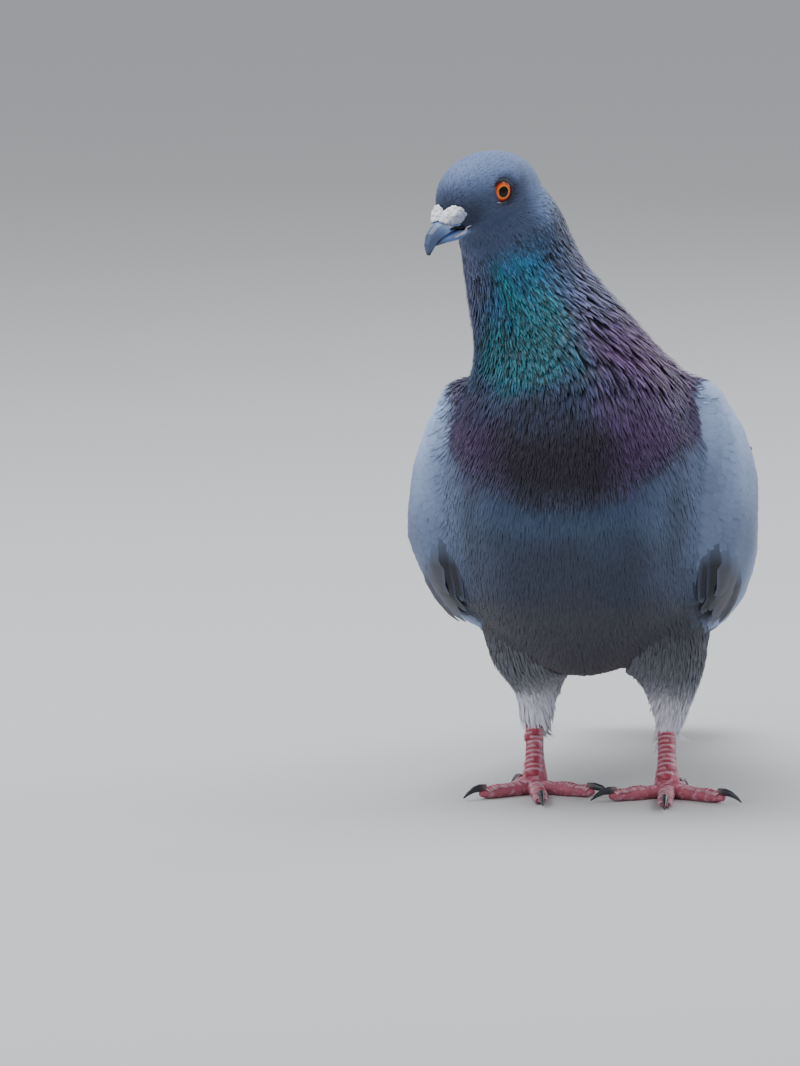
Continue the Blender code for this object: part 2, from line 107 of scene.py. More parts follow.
class Flesh(Enum):
    """The flesh nodes that the one skin covers."""

    HEAD = "head"
    NECK = "neck"
    TRUNK = "trunk"
    THIGH_LEFT = "thigh_left"
    THIGH_RIGHT = "thigh_right"
    WING_LEFT = "wing_left"
    WING_RIGHT = "wing_right"


FLESH = list(Flesh)
HEAD, NECK, TRUNK, THIGH_LEFT, THIGH_RIGHT, WING_LEFT, WING_RIGHT = range(len(FLESH))


def on_wings(labels: np.ndarray) -> np.ndarray:
    """Which points belong to a wing."""
    return (labels == WING_LEFT) | (labels == WING_RIGHT)


def on_thighs(labels: np.ndarray) -> np.ndarray:
    """Which points belong to a thigh."""
    return (labels == THIGH_LEFT) | (labels == THIGH_RIGHT)


def smooth(value: np.ndarray, low: float, high: float) -> np.ndarray:
    """A smooth step of value, 0 at low and 1 at high, either way round."""
    share = np.clip((value - low) / (high - low), 0, 1)
    return share * share * (3 - 2 * share)


def unit(vectors: np.ndarray) -> np.ndarray:
    """The vectors at length 1."""
    return vectors / np.maximum(np.linalg.norm(vectors, axis=-1, keepdims=True), 1e-9)


def linear(red: float, green: float, blue: float) -> np.ndarray:
    """A display colour, 0 to 255, as scene-linear numbers."""
    share = np.array([red, green, blue], float) / 255
    return np.where(share <= 0.04045, share / 12.92, ((share + 0.055) / 1.055) ** 2.4)


def centre_mm(node: str) -> np.ndarray:
    """The middle of a CAD node's box, in millimetres."""
    low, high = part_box(node)
    return np.array((low + high) / 2) / MM


@dataclass(frozen=True)
class Axes:
    """A part's own directions, forward, left and up, about an origin in millimetres."""

    origin: tuple[float, float, float]
    turn: float
    dip: float = 0.0

    def rows(self) -> np.ndarray:
        """Forward, left and up as world directions, one to a row."""
        turn, dip = math.radians(self.turn), math.radians(self.dip)
        cos, sin = math.cos(turn), math.sin(turn)
        spin = np.array([[cos, -sin, 0], [sin, cos, 0], [0, 0, 1]])
        forward = spin @ (0, -math.cos(dip), -math.sin(dip))
        up = spin @ (0, -math.sin(dip), math.cos(dip))
        return np.array([forward, spin @ (1, 0, 0), up])

    def inside(self, points: Points) -> Points:
        """World points in this part's own directions."""
        return (np.asarray(points) - self.origin) @ self.rows().T

    def outside(self, points: Points) -> Points:
        """This part's points in the world."""
        return np.asarray(points) @ self.rows() + self.origin

    def aim(self, vectors: Points) -> Points:
        """This part's directions in the world."""
        return np.asarray(vectors) @ self.rows()


def body_axes() -> Axes:
    """The body's axes, under the middle of the back and on the floor."""
    middle = centre_mm("trunk")
    return Axes((middle[0] + BODY_SHIFT[0], middle[1] + BODY_SHIFT[1], 0.0), BODY_TURN)


def head_axes() -> Axes:
    """The head's axes, about the point midway between the eyes."""
    left, right = centre_mm("eye_left"), centre_mm("eye_right")
    across = left - right
    turn = math.degrees(math.atan2(across[1], across[0]))
    return Axes(tuple((left + right) / 2), turn, HEAD_DIP)


# ---------------------------------------------------------------- meshes


def added(name: str, data: bpy.types.ID) -> Obj:
    """A new object of this data, in the scene."""
    obj = bpy.data.objects.new(name, data)
    bpy.context.scene.collection.objects.link(obj)
    return obj


def arrays_of(obj: Obj) -> tuple[Points, Faces]:
    """The object's points in millimetres and its faces."""
    mesh = obj.data
    points = np.empty(len(mesh.vertices) * 3, np.float32)
    mesh.vertices.foreach_get("co", points)
    faces = [tuple(face.vertices) for face in mesh.polygons]
    return points.reshape(-1, 3).astype(float) / MM, faces


def make_mesh(name: str, points: Points, faces: Faces) -> Obj:
    """A new smooth object of these points, in millimetres, at the origin."""
    mesh = bpy.data.meshes.new(name)
    mesh.from_pydata((points * MM).tolist(), [], faces)
    mesh.validate()
    mesh.shade_smooth()
    return added(name, mesh)


def evaluated(obj: Obj, name: str) -> Obj:
    """The object's result as a plain mesh of its own, and the object removed."""
    bpy.context.view_layer.update()
    graph = bpy.context.evaluated_depsgraph_get()
    mesh = bpy.data.meshes.new_from_object(obj.evaluated_get(graph))
    bpy.data.objects.remove(obj)
    mesh.name = name
    mesh.shade_smooth()
    return added(name, mesh)


def merged_copy(name: str, nodes: list[str], frame_nodes: NodeMap, swell: float) -> Obj:
    """One mesh of copies of CAD nodes, with their loose triangles welded.

    Args:
        name: Name of the new object.
        nodes: The CAD nodes to copy.
        frame_nodes: The frame's nodes by name.
        swell: How far each copy grows along its normals, in millimetres.

    Returns:
        The joined object, at the origin.
    """
    whole = bmesh.new()
    for node in nodes:
        part = bmesh.new()
        part.from_mesh(frame_nodes[node].data)
        bmesh.ops.remove_doubles(part, verts=part.verts, dist=0.00001)
        part.normal_update()
        for vertex in part.verts:
            vertex.co += vertex.normal * swell * MM
        piece = bpy.data.meshes.new("copy")
        part.to_mesh(piece)
        part.free()
        whole.from_mesh(piece)
        bpy.data.meshes.remove(piece)
    mesh = bpy.data.meshes.new(name)
    whole.to_mesh(mesh)
    whole.free()
    return added(name, mesh)


def refined(
    name: str, nodes: list[str], frame_nodes: NodeMap, voxel: float, rounds: int, swell: float = 0.12
) -> Obj:
    """Copies of CAD nodes grown into one smooth skin of even faces.

    Args:
        name: Name of the new object.
        nodes: The CAD nodes to copy.
        frame_nodes: The frame's nodes by name.
        voxel: Size of a face, in millimetres.
        rounds: Rounds of smoothing.
        swell: How far each copy grows before they are joined, in millimetres.

    Returns:
        The new object, of its largest closed shell.
    """
    obj = merged_copy(name + ".copy", nodes, frame_nodes, swell)
    remesh = obj.modifiers.new("Remesh", "REMESH")
    remesh.mode = "VOXEL"
    remesh.voxel_size = voxel * MM
    relax = obj.modifiers.new("Smooth", "SMOOTH")
    relax.factor = 0.5
    relax.iterations = rounds
    made = evaluated(obj, name)
    drop_small_shells(made.data)
    return made


def drop_small_shells(mesh: bpy.types.Mesh) -> None:
    """Keeps only the mesh's shells with at least a tenth of its faces."""
    work = bmesh.new()
    work.from_mesh(mesh)
    work.verts.ensure_lookup_table()
    seen: set[int] = set()
    shells = []
    for start in work.verts:
        if start.index in seen:
            continue
        seen.add(start.index)
        stack, shell = [start], []
        while stack:
            vertex = stack.pop()
            shell.append(vertex)
            for edge in vertex.link_edges:
                other = edge.other_vert(vertex)
                if other.index not in seen:
                    seen.add(other.index)
                    stack.append(other)
        shells.append(shell)
    least = 0.1 * len(work.verts)
    stray = [vertex for shell in shells if len(shell) < least for vertex in shell]
    bmesh.ops.delete(work, geom=stray, context="VERTS")
    work.to_mesh(mesh)
    work.free()
    mesh.shade_smooth()


def vertex_normals(obj: Obj) -> np.ndarray:
    """The mesh's vertex normals."""
    normals = np.empty(len(obj.data.vertices) * 3, np.float32)
    obj.data.vertex_normals.foreach_get("vector", normals)
    return normals.reshape(-1, 3).astype(float)


def set_points(obj: Obj, points: Points) -> None:
    """Moves the mesh's points to these, in millimetres."""
    obj.data.vertices.foreach_set("co", (points * MM).astype(np.float32).ravel())
    obj.data.update()


def paint(obj: Obj, colours: np.ndarray) -> None:
    """Writes the marking attribute, a linear colour for each point."""
    layer = obj.data.attributes.new("marking", "FLOAT_COLOR", "POINT")
    rgba = np.ones((len(colours), 4), np.float32)
    rgba[:, :3] = colours
    layer.data.foreach_set("color", rgba.ravel())


def write_lie(obj: Obj, lie: np.ndarray) -> None:
    """Writes the lie attribute: across a vane, along it, and its own tone."""
    write_numbers(obj.data, "lie", lie)


def write_bake_map(obj: Obj, places: np.ndarray) -> None:
    """Writes the OFBake map from one place for each point."""
    layer = obj.data.uv_layers.new(name="OFBake")
    corners = np.empty(len(obj.data.loops), np.int32)
    obj.data.loops.foreach_get("vertex_index", corners)
    layer.data.foreach_set("uv", places[corners].astype(np.float32).ravel())


def write_numbers(mesh: bpy.types.Mesh, name: str, values: np.ndarray) -> None:
    """Writes a number, or a vector, for each point as a named attribute."""
    kind, field_name = ("FLOAT", "value") if values.ndim == 1 else ("FLOAT_VECTOR", "vector")
    layer = mesh.attributes.new(name, kind, "POINT")
    layer.data.foreach_set(field_name, values.astype(np.float32).ravel())


def dress(obj: Obj, finish: Material, slot: str, *replaced: str) -> Obj:
    """Gives a finished piece its material and body, logs its slot, and hides the nodes it stands for."""
    obj.data.materials.clear()
    obj.data.materials.append(finish)
    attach(obj, BODY)
    if replaced:
        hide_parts(*replaced)
    LOG.info("%s: %d faces, %s", obj.name, len(obj.data.polygons), slot)
    return obj


class Carrier:
    """A closed surface that feathers and scutes lie on, with smooth normals."""

    def __init__(self, obj: Obj) -> None:
        """Keeps the object's normals and a tree that finds its nearest place."""
        points, faces = arrays_of(obj)
        normals = vertex_normals(obj)
        self.normals = unit(np.array([normals[list(face)].mean(0) for face in faces]))
        self.tree = BVHTree.FromPolygons(points.tolist(), faces)

    def nearest(self, points: Points) -> tuple[Points, np.ndarray]:
        """The surface's nearest places to these points, and its normals there."""
        places = np.empty((len(points), 3))
        index = np.empty(len(points), int)
        for i, point in enumerate(points.tolist()):
            places[i], _, index[i], _ = self.tree.find_nearest(point)
        return places, self.normals[index]


# ---------------------------------------------------------------- finishes


class Graph:
    """Adds linked nodes to one shader tree with short calls."""

    def __init__(self, tree: Tree) -> None:
        """Keeps the tree."""
        self.tree = tree

    def add(self, kind: str, sockets: dict | None = None, **settings: object) -> Node:
        """Adds a node, sets it, and links or fills its sockets.

        Args:
            kind: The node's type, without ShaderNode.
            sockets: A value or an output socket for each input, by name or index.
            settings: The node's own properties.

        Returns:
            The node.
        """
        node = self.tree.nodes.new("ShaderNode" + kind)
        for name, value in settings.items():
            setattr(node, name, value)
        for key, value in (sockets or {}).items():
            if isinstance(value, Socket):
                self.tree.links.new(value, node.inputs[key])
            else:
                node.inputs[key].default_value = value
        return node

    def maths(self, operation: str, *terms: object) -> Socket:
        """One sum of up to three numbers or sockets."""
        return self.add("Math", dict(enumerate(terms)), operation=operation).outputs[0]

    def step(self, value: Socket, low: float, high: float) -> Socket:
        """A smooth step of value from 0 at low to 1 at high."""
        sockets = {"Value": value, "From Min": low, "From Max": high}
        return self.add("MapRange", sockets, interpolation_type="SMOOTHSTEP").outputs[0]

    def shaded(self, colour: Socket, tone: Socket) -> Socket:
        """The colour times a grey of this tone."""
        grey = self.add("CombineColor", {0: tone, 1: tone, 2: tone}).outputs[0]
        sockets = {0: 1.0, 6: colour, 7: grey}
        return self.add("Mix", sockets, data_type="RGBA", blend_type="MULTIPLY").outputs[2]

    def marking(self, name: str, output: str) -> Socket:
        """A named attribute of the mesh."""
        return self.add("Attribute", attribute_name=name).outputs[output]

    def noise(self, place: Socket, scale: object, detail: float) -> Socket:
        """A noise value at this scale, in repeats to the unit of the place."""
        return self.add("TexNoise", {"Vector": place, "Scale": scale, "Detail": detail}).outputs[0]


def group(name: str, kind: str, inputs: dict[str, str], outputs: dict[str, str]) -> tuple[Tree, Node, Node]:
    """An empty node group with named sockets, and its two end nodes.

    Args:
        name: The group's name.
        kind: Shader or Geometry.
        inputs: Each input's kind, by its name.
        outputs: Each output's kind, by its name.

    Returns:
        The group, its input node and its output node.
    """
    tree = bpy.data.node_groups.new(name, kind + "NodeTree")
    for way, sockets in (("INPUT", inputs), ("OUTPUT", outputs)):
        for label, socket in sockets.items():
            tree.interface.new_socket(label, in_out=way, socket_type="NodeSocket" + socket)
    return tree, tree.nodes.new("NodeGroupInput"), tree.nodes.new("NodeGroupOutput")


def barbs_group() -> Tree:
    """The barbs and shaft of every feather, with painted shade darkening its edges and its root; the root is
    also darker of its own.
    """
    inputs = {"Marking": "Color", "Lie": "Vector"}
    inputs |= dict.fromkeys(("Barbs", "Edge", "Root", "Streak"), "Float")
    tree, start, end = group("Barbs", "Shader", inputs, {"Colour": "Color", "Height": "Float"})
    make = Graph(tree)
    parts = make.add("SeparateXYZ", {0: start.outputs["Lie"]})
    across, along, tone = parts.outputs[0], parts.outputs[1], parts.outputs[2]
    aside = make.maths("ABSOLUTE", across)
    slant = make.maths("MULTIPLY_ADD", aside, -0.35, along)
    phase = make.maths("MULTIPLY", slant, start.outputs["Barbs"])
    wave = make.maths("SINE", phase)
    rough = make.add("CombineXYZ", {0: across, 1: slant, 2: tone}).outputs[0]
    fray = make.noise(rough, 9.0, 2.0)
    # Painted shade: the edges and the root darken where neighbouring vanes lie against and over them; the
    # root is also darker of its own.
    edge = make.maths("MULTIPLY", make.step(aside, 0.45, 1.0), start.outputs["Edge"])
    root = make.maths("MULTIPLY", make.step(along, 0.62, 0.1), start.outputs["Root"])
    shade = make.maths("SUBTRACT", 1.0, make.maths("MAXIMUM", edge, root))
    streak = make.maths("MULTIPLY", make.maths("SUBTRACT", fray, 0.5), start.outputs["Streak"])
    lift = make.maths("ADD", make.maths("MULTIPLY_ADD", wave, 0.04, 1.0), streak)
    light = make.maths("MULTIPLY", shade, make.maths("MULTIPLY", lift, tone))
    shaft = make.step(aside, 0.09, 0.0)
    height = make.maths("ADD", make.maths("MULTIPLY", wave, 0.25), shaft)
    tree.links.new(make.shaded(start.outputs["Marking"], light), end.inputs["Colour"])
    tree.links.new(make.maths("ADD", height, make.maths("MULTIPLY", fray, 0.7)), end.inputs["Height"])
    return tree


def mottle_group() -> Tree:
    """Uneven tone and a fine relief, for skin, horn and scales."""
    inputs = {"Marking": "Color"} | dict.fromkeys(("Coarse", "Fine", "Depth"), "Float")
    tree, start, end = group("Mottle", "Shader", inputs, {"Colour": "Color", "Height": "Float"})
    make = Graph(tree)
    place = make.add("TexCoord").outputs["Object"]
    coarse = make.noise(place, start.outputs["Coarse"], 4.0)
    fine = make.noise(place, start.outputs["Fine"], 5.0)
    uneven = make.maths("ADD", make.maths("SUBTRACT", coarse, 0.5), make.maths("SUBTRACT", fine, 0.5))
    tone = make.maths("MULTIPLY_ADD", uneven, start.outputs["Depth"], 1.0)
    tree.links.new(make.shaded(start.outputs["Marking"], tone), end.inputs["Colour"])
    tree.links.new(make.maths("MULTIPLY_ADD", coarse, 0.5, fine), end.inputs["Height"])
    return tree


@cache
def shared(build: Callable[[], Tree]) -> Tree:
    """The shared node group that this function makes, built once."""
    return build()


@dataclass(frozen=True)
class Finish:
    """What every finish has: its name, its gloss and the strength of its relief."""

    name: str
    roughness: float = 0.6
    relief: float = 0.3
    relief_mm: float = 0.1
    coat: float = 0.0
    sheen: float = 0.0
    specular: float = 0.5

    def start(self) -> tuple[Material, Graph, Node]:
        """The material with its shader's constants set.

        Returns:
            The material, its graph and its shader.
        """
        made = bpy.data.materials.new(self.name)
        made.use_nodes = True
        shader = made.node_tree.nodes["Principled BSDF"]
        constants = {
            "Roughness": self.roughness,
            "Coat Weight": self.coat,
            "Coat Roughness": 0.05,
            "Sheen Weight": self.sheen,
            "Sheen Roughness": 0.5,
            "Specular IOR Level": self.specular,
        }
        for name, value in constants.items():
            shader.inputs[name].default_value = value
        return made, Graph(made.node_tree), shader

    def finish(self, make: Graph, shader: Node, colour: Socket, height: Socket) -> None:
        """Joins a colour and a height to the shader."""
        make.tree.links.new(colour, shader.inputs["Base Color"])
        sockets = {"Height": height, "Strength": self.relief, "Distance": self.relief_mm * MM}
        make.tree.links.new(make.add("Bump", sockets).outputs[0], shader.inputs["Normal"])

    def grouped(
        self, build: Callable[[], Tree], vectors: tuple[str, ...], constants: dict[str, float]
    ) -> tuple[Material, Node]:
        """The material with a shared node group for its colour and relief.

        Args:
            build: What makes the group.
            vectors: Vector attributes that the group takes beside the marking.
            constants: The group's other inputs by name.

        Returns:
            The material and its shader.
        """
        made, make, shader = self.start()
        sockets = {"Marking": make.marking("marking", "Color"), **constants}
        sockets |= {name.title(): make.marking(name, "Vector") for name in vectors}
        inner = make.add("Group", sockets, node_tree=shared(build))
        self.finish(make, shader, inner.outputs["Colour"], inner.outputs["Height"])
        return made, shader


@dataclass(frozen=True)
class FeatherFinish(Finish):
    """A feather: its marking with barbs, and painted shade at the root and the edges; the root is also darker
    of its own.
    """

    barbs: float = 60.0
    # How strongly painted shade darkens the edges and the root.
    edge: float = 0.3
    root: float = 0.6
    streak: float = 0.3

    def build(self) -> Material:
        """The material."""
        constants = {"Barbs": self.barbs, "Edge": self.edge, "Root": self.root, "Streak": self.streak}
        return self.grouped(barbs_group, ("lie",), constants)[0]


@dataclass(frozen=True)
class MottledFinish(Finish):
    """Skin, horn or scale: its marking with an uneven tone and a fine relief."""

    coarse: float = 400.0
    fine: float = 1800.0
    depth: float = 0.5
    subsurface: float = 0.0

    def build(self) -> Material:
        """The material."""
        constants = {"Coarse": self.coarse, "Fine": self.fine, "Depth": self.depth}
        made, shader = self.grouped(mottle_group, (), constants)
        shader.inputs["Subsurface Weight"].default_value = self.subsurface
        shader.inputs["Subsurface Scale"].default_value = 0.001
        return made


# ---------------------------------------------------------------- markings


class Tint(Enum):
    """Plumage colours, as display numbers under an even light, except where painted light and shade are
    noted.
    """

    CROWN = (110, 132, 172)
    FACE = (72, 84, 114)
    LORES = (42, 50, 68)
    NAPE = (156, 176, 218)
    NECK_BLUE = (46, 64, 92)
    LILAC = (98, 104, 140)
    THIGH = (110, 114, 124)
    TEAL = (27, 90, 124)
    GREEN = (24, 96, 106)
    MAUVE = (106, 70, 120)
    COLLAR = (34, 26, 44)
    # Painted light on the wings' tops.
    WING_TOP = (180, 204, 244)
    SLOT_MIDDLE = (84, 85, 94)
    COLLAR_SIDE = (86, 66, 106)
    BREAST_LOW = (57, 64, 80)
    WING_LOW = (104, 119, 150)
    BREAST = (67, 83, 110)
    BELLY = (67, 68, 76)
    VENT = (78, 76, 82)
    WING = (146, 166, 204)
    MANTLE = (108, 124, 158)
    RUMP = (160, 170, 192)
    SLOT = (38, 40, 48)
    CUFF = (226, 228, 240)
    BAR = (34, 33, 40)
    FLIGHT = (72, 76, 90)
    TAIL = (96, 108, 134)

    def colour(self) -> np.ndarray:
        """The colour as scene-linear numbers."""
        return linear(*self.value)


def toward(base: np.ndarray, colour: np.ndarray, share: np.ndarray) -> np.ndarray:
    """The base colours moved towards one colour by each point's share."""
    return base + (colour - base) * share[:, None]


def blend(base: np.ndarray, tint: Tint, share: np.ndarray) -> np.ndarray:
    """The base colours moved towards a tint by each point's share."""
    return toward(base, tint.colour(), share)


def wobble(points: Points, size: float, seed: float) -> np.ndarray:
    """A smooth irregular number for each point, about -1 to 1, with waves of this size."""
    x, y, z = (points / size + seed).T
    first = np.sin(x * 1.7 + 1.3 * np.sin(y * 1.1 + z))
    second = np.sin(y * 2.1 + 1.1 * np.sin(z * 1.6 - x * 0.7))
    third = np.sin(z * 1.9 + 1.2 * np.sin(x * 1.3 + y * 0.9))
    return (first + second + third) / 3


def bib_height(side: np.ndarray) -> np.ndarray:
    """How high the wine bib's round lower edge stands at each place to the side, in millimetres."""
    return 100.5 + 0.0125 * (side + 8) ** 2


@dataclass(frozen=True)
class Spots:
    """Places on the bird and their flesh parts, seen from the body and from the head, in millimetres."""

    points: Points
    labels: np.ndarray
    body: Points
    head: Points

    @property
    def forward(self) -> np.ndarray:
        """How far each place is ahead of the body's origin."""
        return self.body[:, 0]

    @property
    def side(self) -> np.ndarray:
        """How far each place is to the bird's left."""
        return self.body[:, 1]

    @property
    def height(self) -> np.ndarray:
        """How far each place is above the floor."""
        return self.body[:, 2]

    def some(self, index: np.ndarray) -> "Spots":
        """These places only, by their order."""
        return Spots(self.points[index], self.labels[index], self.body[index], self.head[index])

    def above_bib(self) -> np.ndarray:
        """How far each place is above the bib's lower edge."""
        return self.height - bib_height(self.side)

    def from_eyes(self) -> np.ndarray:
        """How far each place is from the point midway between the eyes."""
        return np.linalg.norm(self.head, axis=1)

    def wing(self) -> np.ndarray:
        """How far each place belongs to a wing, from 0 to 1, easing in beside the breast."""
        inner = np.where(self.side > MIDLINE, 30.0, 36.0)
        reach = smooth(np.abs(self.side - MIDLINE) - inner, 0, 9)
        return on_wings(self.labels) * np.maximum(reach, smooth(self.forward, 12, 0))

    def trunk(self) -> np.ndarray:
        """How far each place belongs to the trunk, from 0 to 1."""
        return (self.labels == TRUNK) + on_wings(self.labels) * (1 - self.wing())


@dataclass(frozen=True)
class Markings:
    """The bird's markings, for skin and feathers alike."""

    body: Axes
    head: Axes

    def spots(self, points: Points, labels: np.ndarray) -> Spots:
        """These world points, in millimetres, as places on the bird."""
        return Spots(points, labels, self.body.inside(points), self.head.inside(points))

    def at(self, points: Points, labels: np.ndarray) -> np.ndarray:
        """The marking at each point.

        Args:
            points: Places on the bird, in millimetres.
            labels: The flesh part of each point.

        Returns:
            A linear colour for each point.
        """
        spots = self.spots(points, labels)
        uneven = wobble(points, 7.0, 0.0)
        colours = self.trunk(spots, uneven)
        colours = self.neck(colours, spots, uneven)
        colours = self.face(colours, spots)
        colours = self.wing(colours, spots, uneven)
        return self.leg(colours, spots)

    def trunk(self, spots: Spots, uneven: np.ndarray) -> np.ndarray:
        """The slate breast, greyer belly and vent, and the mantle and pale rump behind, with a painted shadow
        in the crease beside each wing.
        """
        forward, side, height = spots.body.T
        colours = np.tile(Tint.BREAST.colour(), (len(forward), 1))
        colours = blend(colours, Tint.BREAST_LOW, smooth(height + 4 * uneven, 98, 78))
        colours = blend(colours, Tint.BELLY, smooth(height + 4 * uneven, 72, 56))
        vent = smooth(height + 3 * uneven, 56, 44) * smooth(forward, 30, 0)
        colours = blend(colours, Tint.VENT, vent)
        flank = smooth(np.abs(side + 6) + 2 * uneven, 18, 40) * smooth(height, 52, 96)
        colours = blend(colours, Tint.WING_LOW, flank)
        # Painted shadow down the crease between the breast and each wing.
        hollow = np.abs(side - MIDLINE) - 33 + 1.5 * uneven
        crease_shadow = np.exp(-((hollow / 4.5) ** 2)) * smooth(forward, 8, 26)
        crease_shadow *= smooth(height, 66, 80) * smooth(height, 116, 100)
        colours = blend(colours, Tint.BREAST_LOW, 0.6 * crease_shadow)
        behind = smooth(forward, 16, -6) * smooth(height - 0.25 * forward, 74, 92)
        colours = blend(colours, Tint.MANTLE, behind)
        return blend(colours, Tint.RUMP, behind * smooth(forward + 3 * uneven, -44, -56))

    def neck(self, colours: np.ndarray, spots: Spots, uneven: np.ndarray) -> np.ndarray:
        """Adds the glossy neck: a dark wine bib below a teal throat, with a mauve flank and a grey nape, with
        painted shade, sheen and light.
        """
        forward, side, height = spots.body.T
        above = spots.above_bib() + 1.5 * uneven
        rear = smooth(forward, 0, -20)
        bib = smooth(above, -12, 7) * (1 - rear)
        # The bib's own wine, darkest in its middle as painted shade and lighter purple to the sides, a little
        # less so on the bird's right.
        colours = blend(colours, Tint.COLLAR, bib)
        flank = smooth(np.abs(side + 8), 10, 34) * np.where(side < -8, 0.85, 1.0)
        colours = blend(colours, Tint.COLLAR_SIDE, bib * flank)
        blue = smooth(height + 4 * uneven, 118, 136) * (1 - 0.6 * rear)
        colours = blend(colours, Tint.NECK_BLUE, blue)
        # Painted sheen: the mauve gloss, on the bird's left, and the lilac lie where they show from the
        # front.
        mauve = smooth(above, 3, 26) * smooth(side - 0.6 * (145 - height) + 7 * uneven, -16, 22)
        mauve *= smooth(height, 172, 152) * smooth(forward, -6, 8)
        colours = blend(colours, Tint.MAUVE, 0.95 * mauve)
        lilac = smooth(height + 5 * uneven, 146, 164) * smooth(side, -16, -4)
        lilac = np.maximum(lilac, 0.75 * smooth(height, 130, 150) * smooth(side, -30, -38))
        colours = blend(colours, Tint.LILAC, 0.9 * lilac)
        colours = self.throat(colours, spots, uneven)
        # The pale nape is partly painted rim light from behind.
        nape = smooth(height, 142, 166) * smooth(forward + 0.5 * (side + 20), 14, 2)
        return blend(colours, Tint.NAPE, 0.9 * nape)

    def throat(self, colours: np.ndarray, spots: Spots, uneven: np.ndarray) -> np.ndarray:
        """Adds the teal throat, greener in patches, with painted sheen brightening its top."""
        forward, side, height = spots.body.T
        middle = np.interp(height, (135, 165, 185), (-17, -20, -26))
        half = np.interp(height, (130, 165), (19, 11))
        throat = smooth(np.abs(side - middle + 3 * uneven) - half, 5, -7) * smooth(forward, -2, 12)
        throat *= smooth(height + 5 * uneven, 128, 143) * smooth(height, 184, 172)
        colours = blend(colours, Tint.TEAL, throat * (0.78 + 0.22 * uneven))
        patches = wobble(height[:, None] * [0.6, 0.4, 1] + side[:, None], 9, 5)
        colours = blend(colours, Tint.GREEN, 0.8 * throat * smooth(patches, -0.25, 0.35))
        # Painted sheen: the top of the throat brightened.
        return colours * (1 + 0.55 * throat * smooth(height, 146, 166))[:, None]

    def face(self, colours: np.ndarray, spots: Spots) -> np.ndarray:
        """Adds the head: a pale crown, partly painted light, greyer cheeks, and dark lores stretched into
        painted shade under the brow.
        """
        forward, _, height = spots.head.T
        edge = height + 0.35 * forward + 2 * wobble(spots.points, 5.0, 3.0)
        on_head = smooth(edge, -25, -13) * (spots.labels <= NECK)
        colours = blend(colours, Tint.FACE, on_head)
        # Partly painted light: the head is paler on top and towards its back.
        pale = smooth(height - 0.1 * np.maximum(forward, 0), -1, 8)
        pale = np.maximum(pale, 0.85 * smooth(forward, -6, -13) * smooth(height, -20, -8))
        colours = blend(colours, Tint.CROWN, on_head * pale)
        # The dark lores, stretched up under the brow as painted shade.
        lores = 0.85 * smooth(forward, 5, 13) * smooth(height, 3, -3) * smooth(height, -10, -6)
        round_eye = smooth(np.hypot(forward, height), 6.4, 4.4)
        lores = np.maximum(lores, round_eye * 0.45)
        return blend(colours, Tint.LORES, on_head * lores * (spots.labels == HEAD))

    def wing(self, colours: np.ndarray, spots: Spots, uneven: np.ndarray) -> np.ndarray:
        """Adds the pale wing coverts, duller low down, with painted light on their tops, and the dark edge
        beneath them, with painted shade where the wing's front tucks against the flank.
        """
        forward, side, height = spots.body.T
        reach = np.abs(side - MIDLINE)
        share = spots.wing()
        colours = blend(colours, Tint.WING_LOW, share)
        upper = smooth(height + 2 * uneven - 0.3 * np.minimum(forward, 0), 84, 112)
        upper *= smooth(reach, 38, 47)
        rear = smooth(forward, 10, -12)
        colours = blend(colours, Tint.WING, share * np.maximum(upper, rear))
        # Painted light: the wing's top lit from above, less on the bird's left.
        top = smooth(height, 104, 126) * (1 - 0.7 * rear) * np.where(side > 0, 0.6, 1.0)
        colours = blend(colours, Tint.WING_TOP, share * top)
        # Painted shade in the hollow where the wing's front tucks against the flank.
        hollow = smooth(height - 2 * uneven, 80, 70) * smooth(reach, 46, 41) * smooth(forward, 0, 10)
        under = smooth(height + 0.32 * np.maximum(0, 20 - forward) - 3 * uneven, 62, 52)
        under *= smooth(forward, -70, -20)
        return blend(colours, Tint.SLOT, share * np.maximum(hollow, under))

    def leg(self, colours: np.ndarray, spots: Spots) -> np.ndarray:
        """Adds the pale cuffs round the ankles."""
        thighs, height = on_thighs(spots.labels), spots.height
        colours = blend(colours, Tint.THIGH, thighs * smooth(height, 60, 34))
        edge = height + 2.5 * wobble(np.stack([height, height, height], 1), 9, 0)
        return blend(colours, Tint.CUFF, thighs * smooth(edge, 42, 23))


# ---------------------------------------------------------------- skin


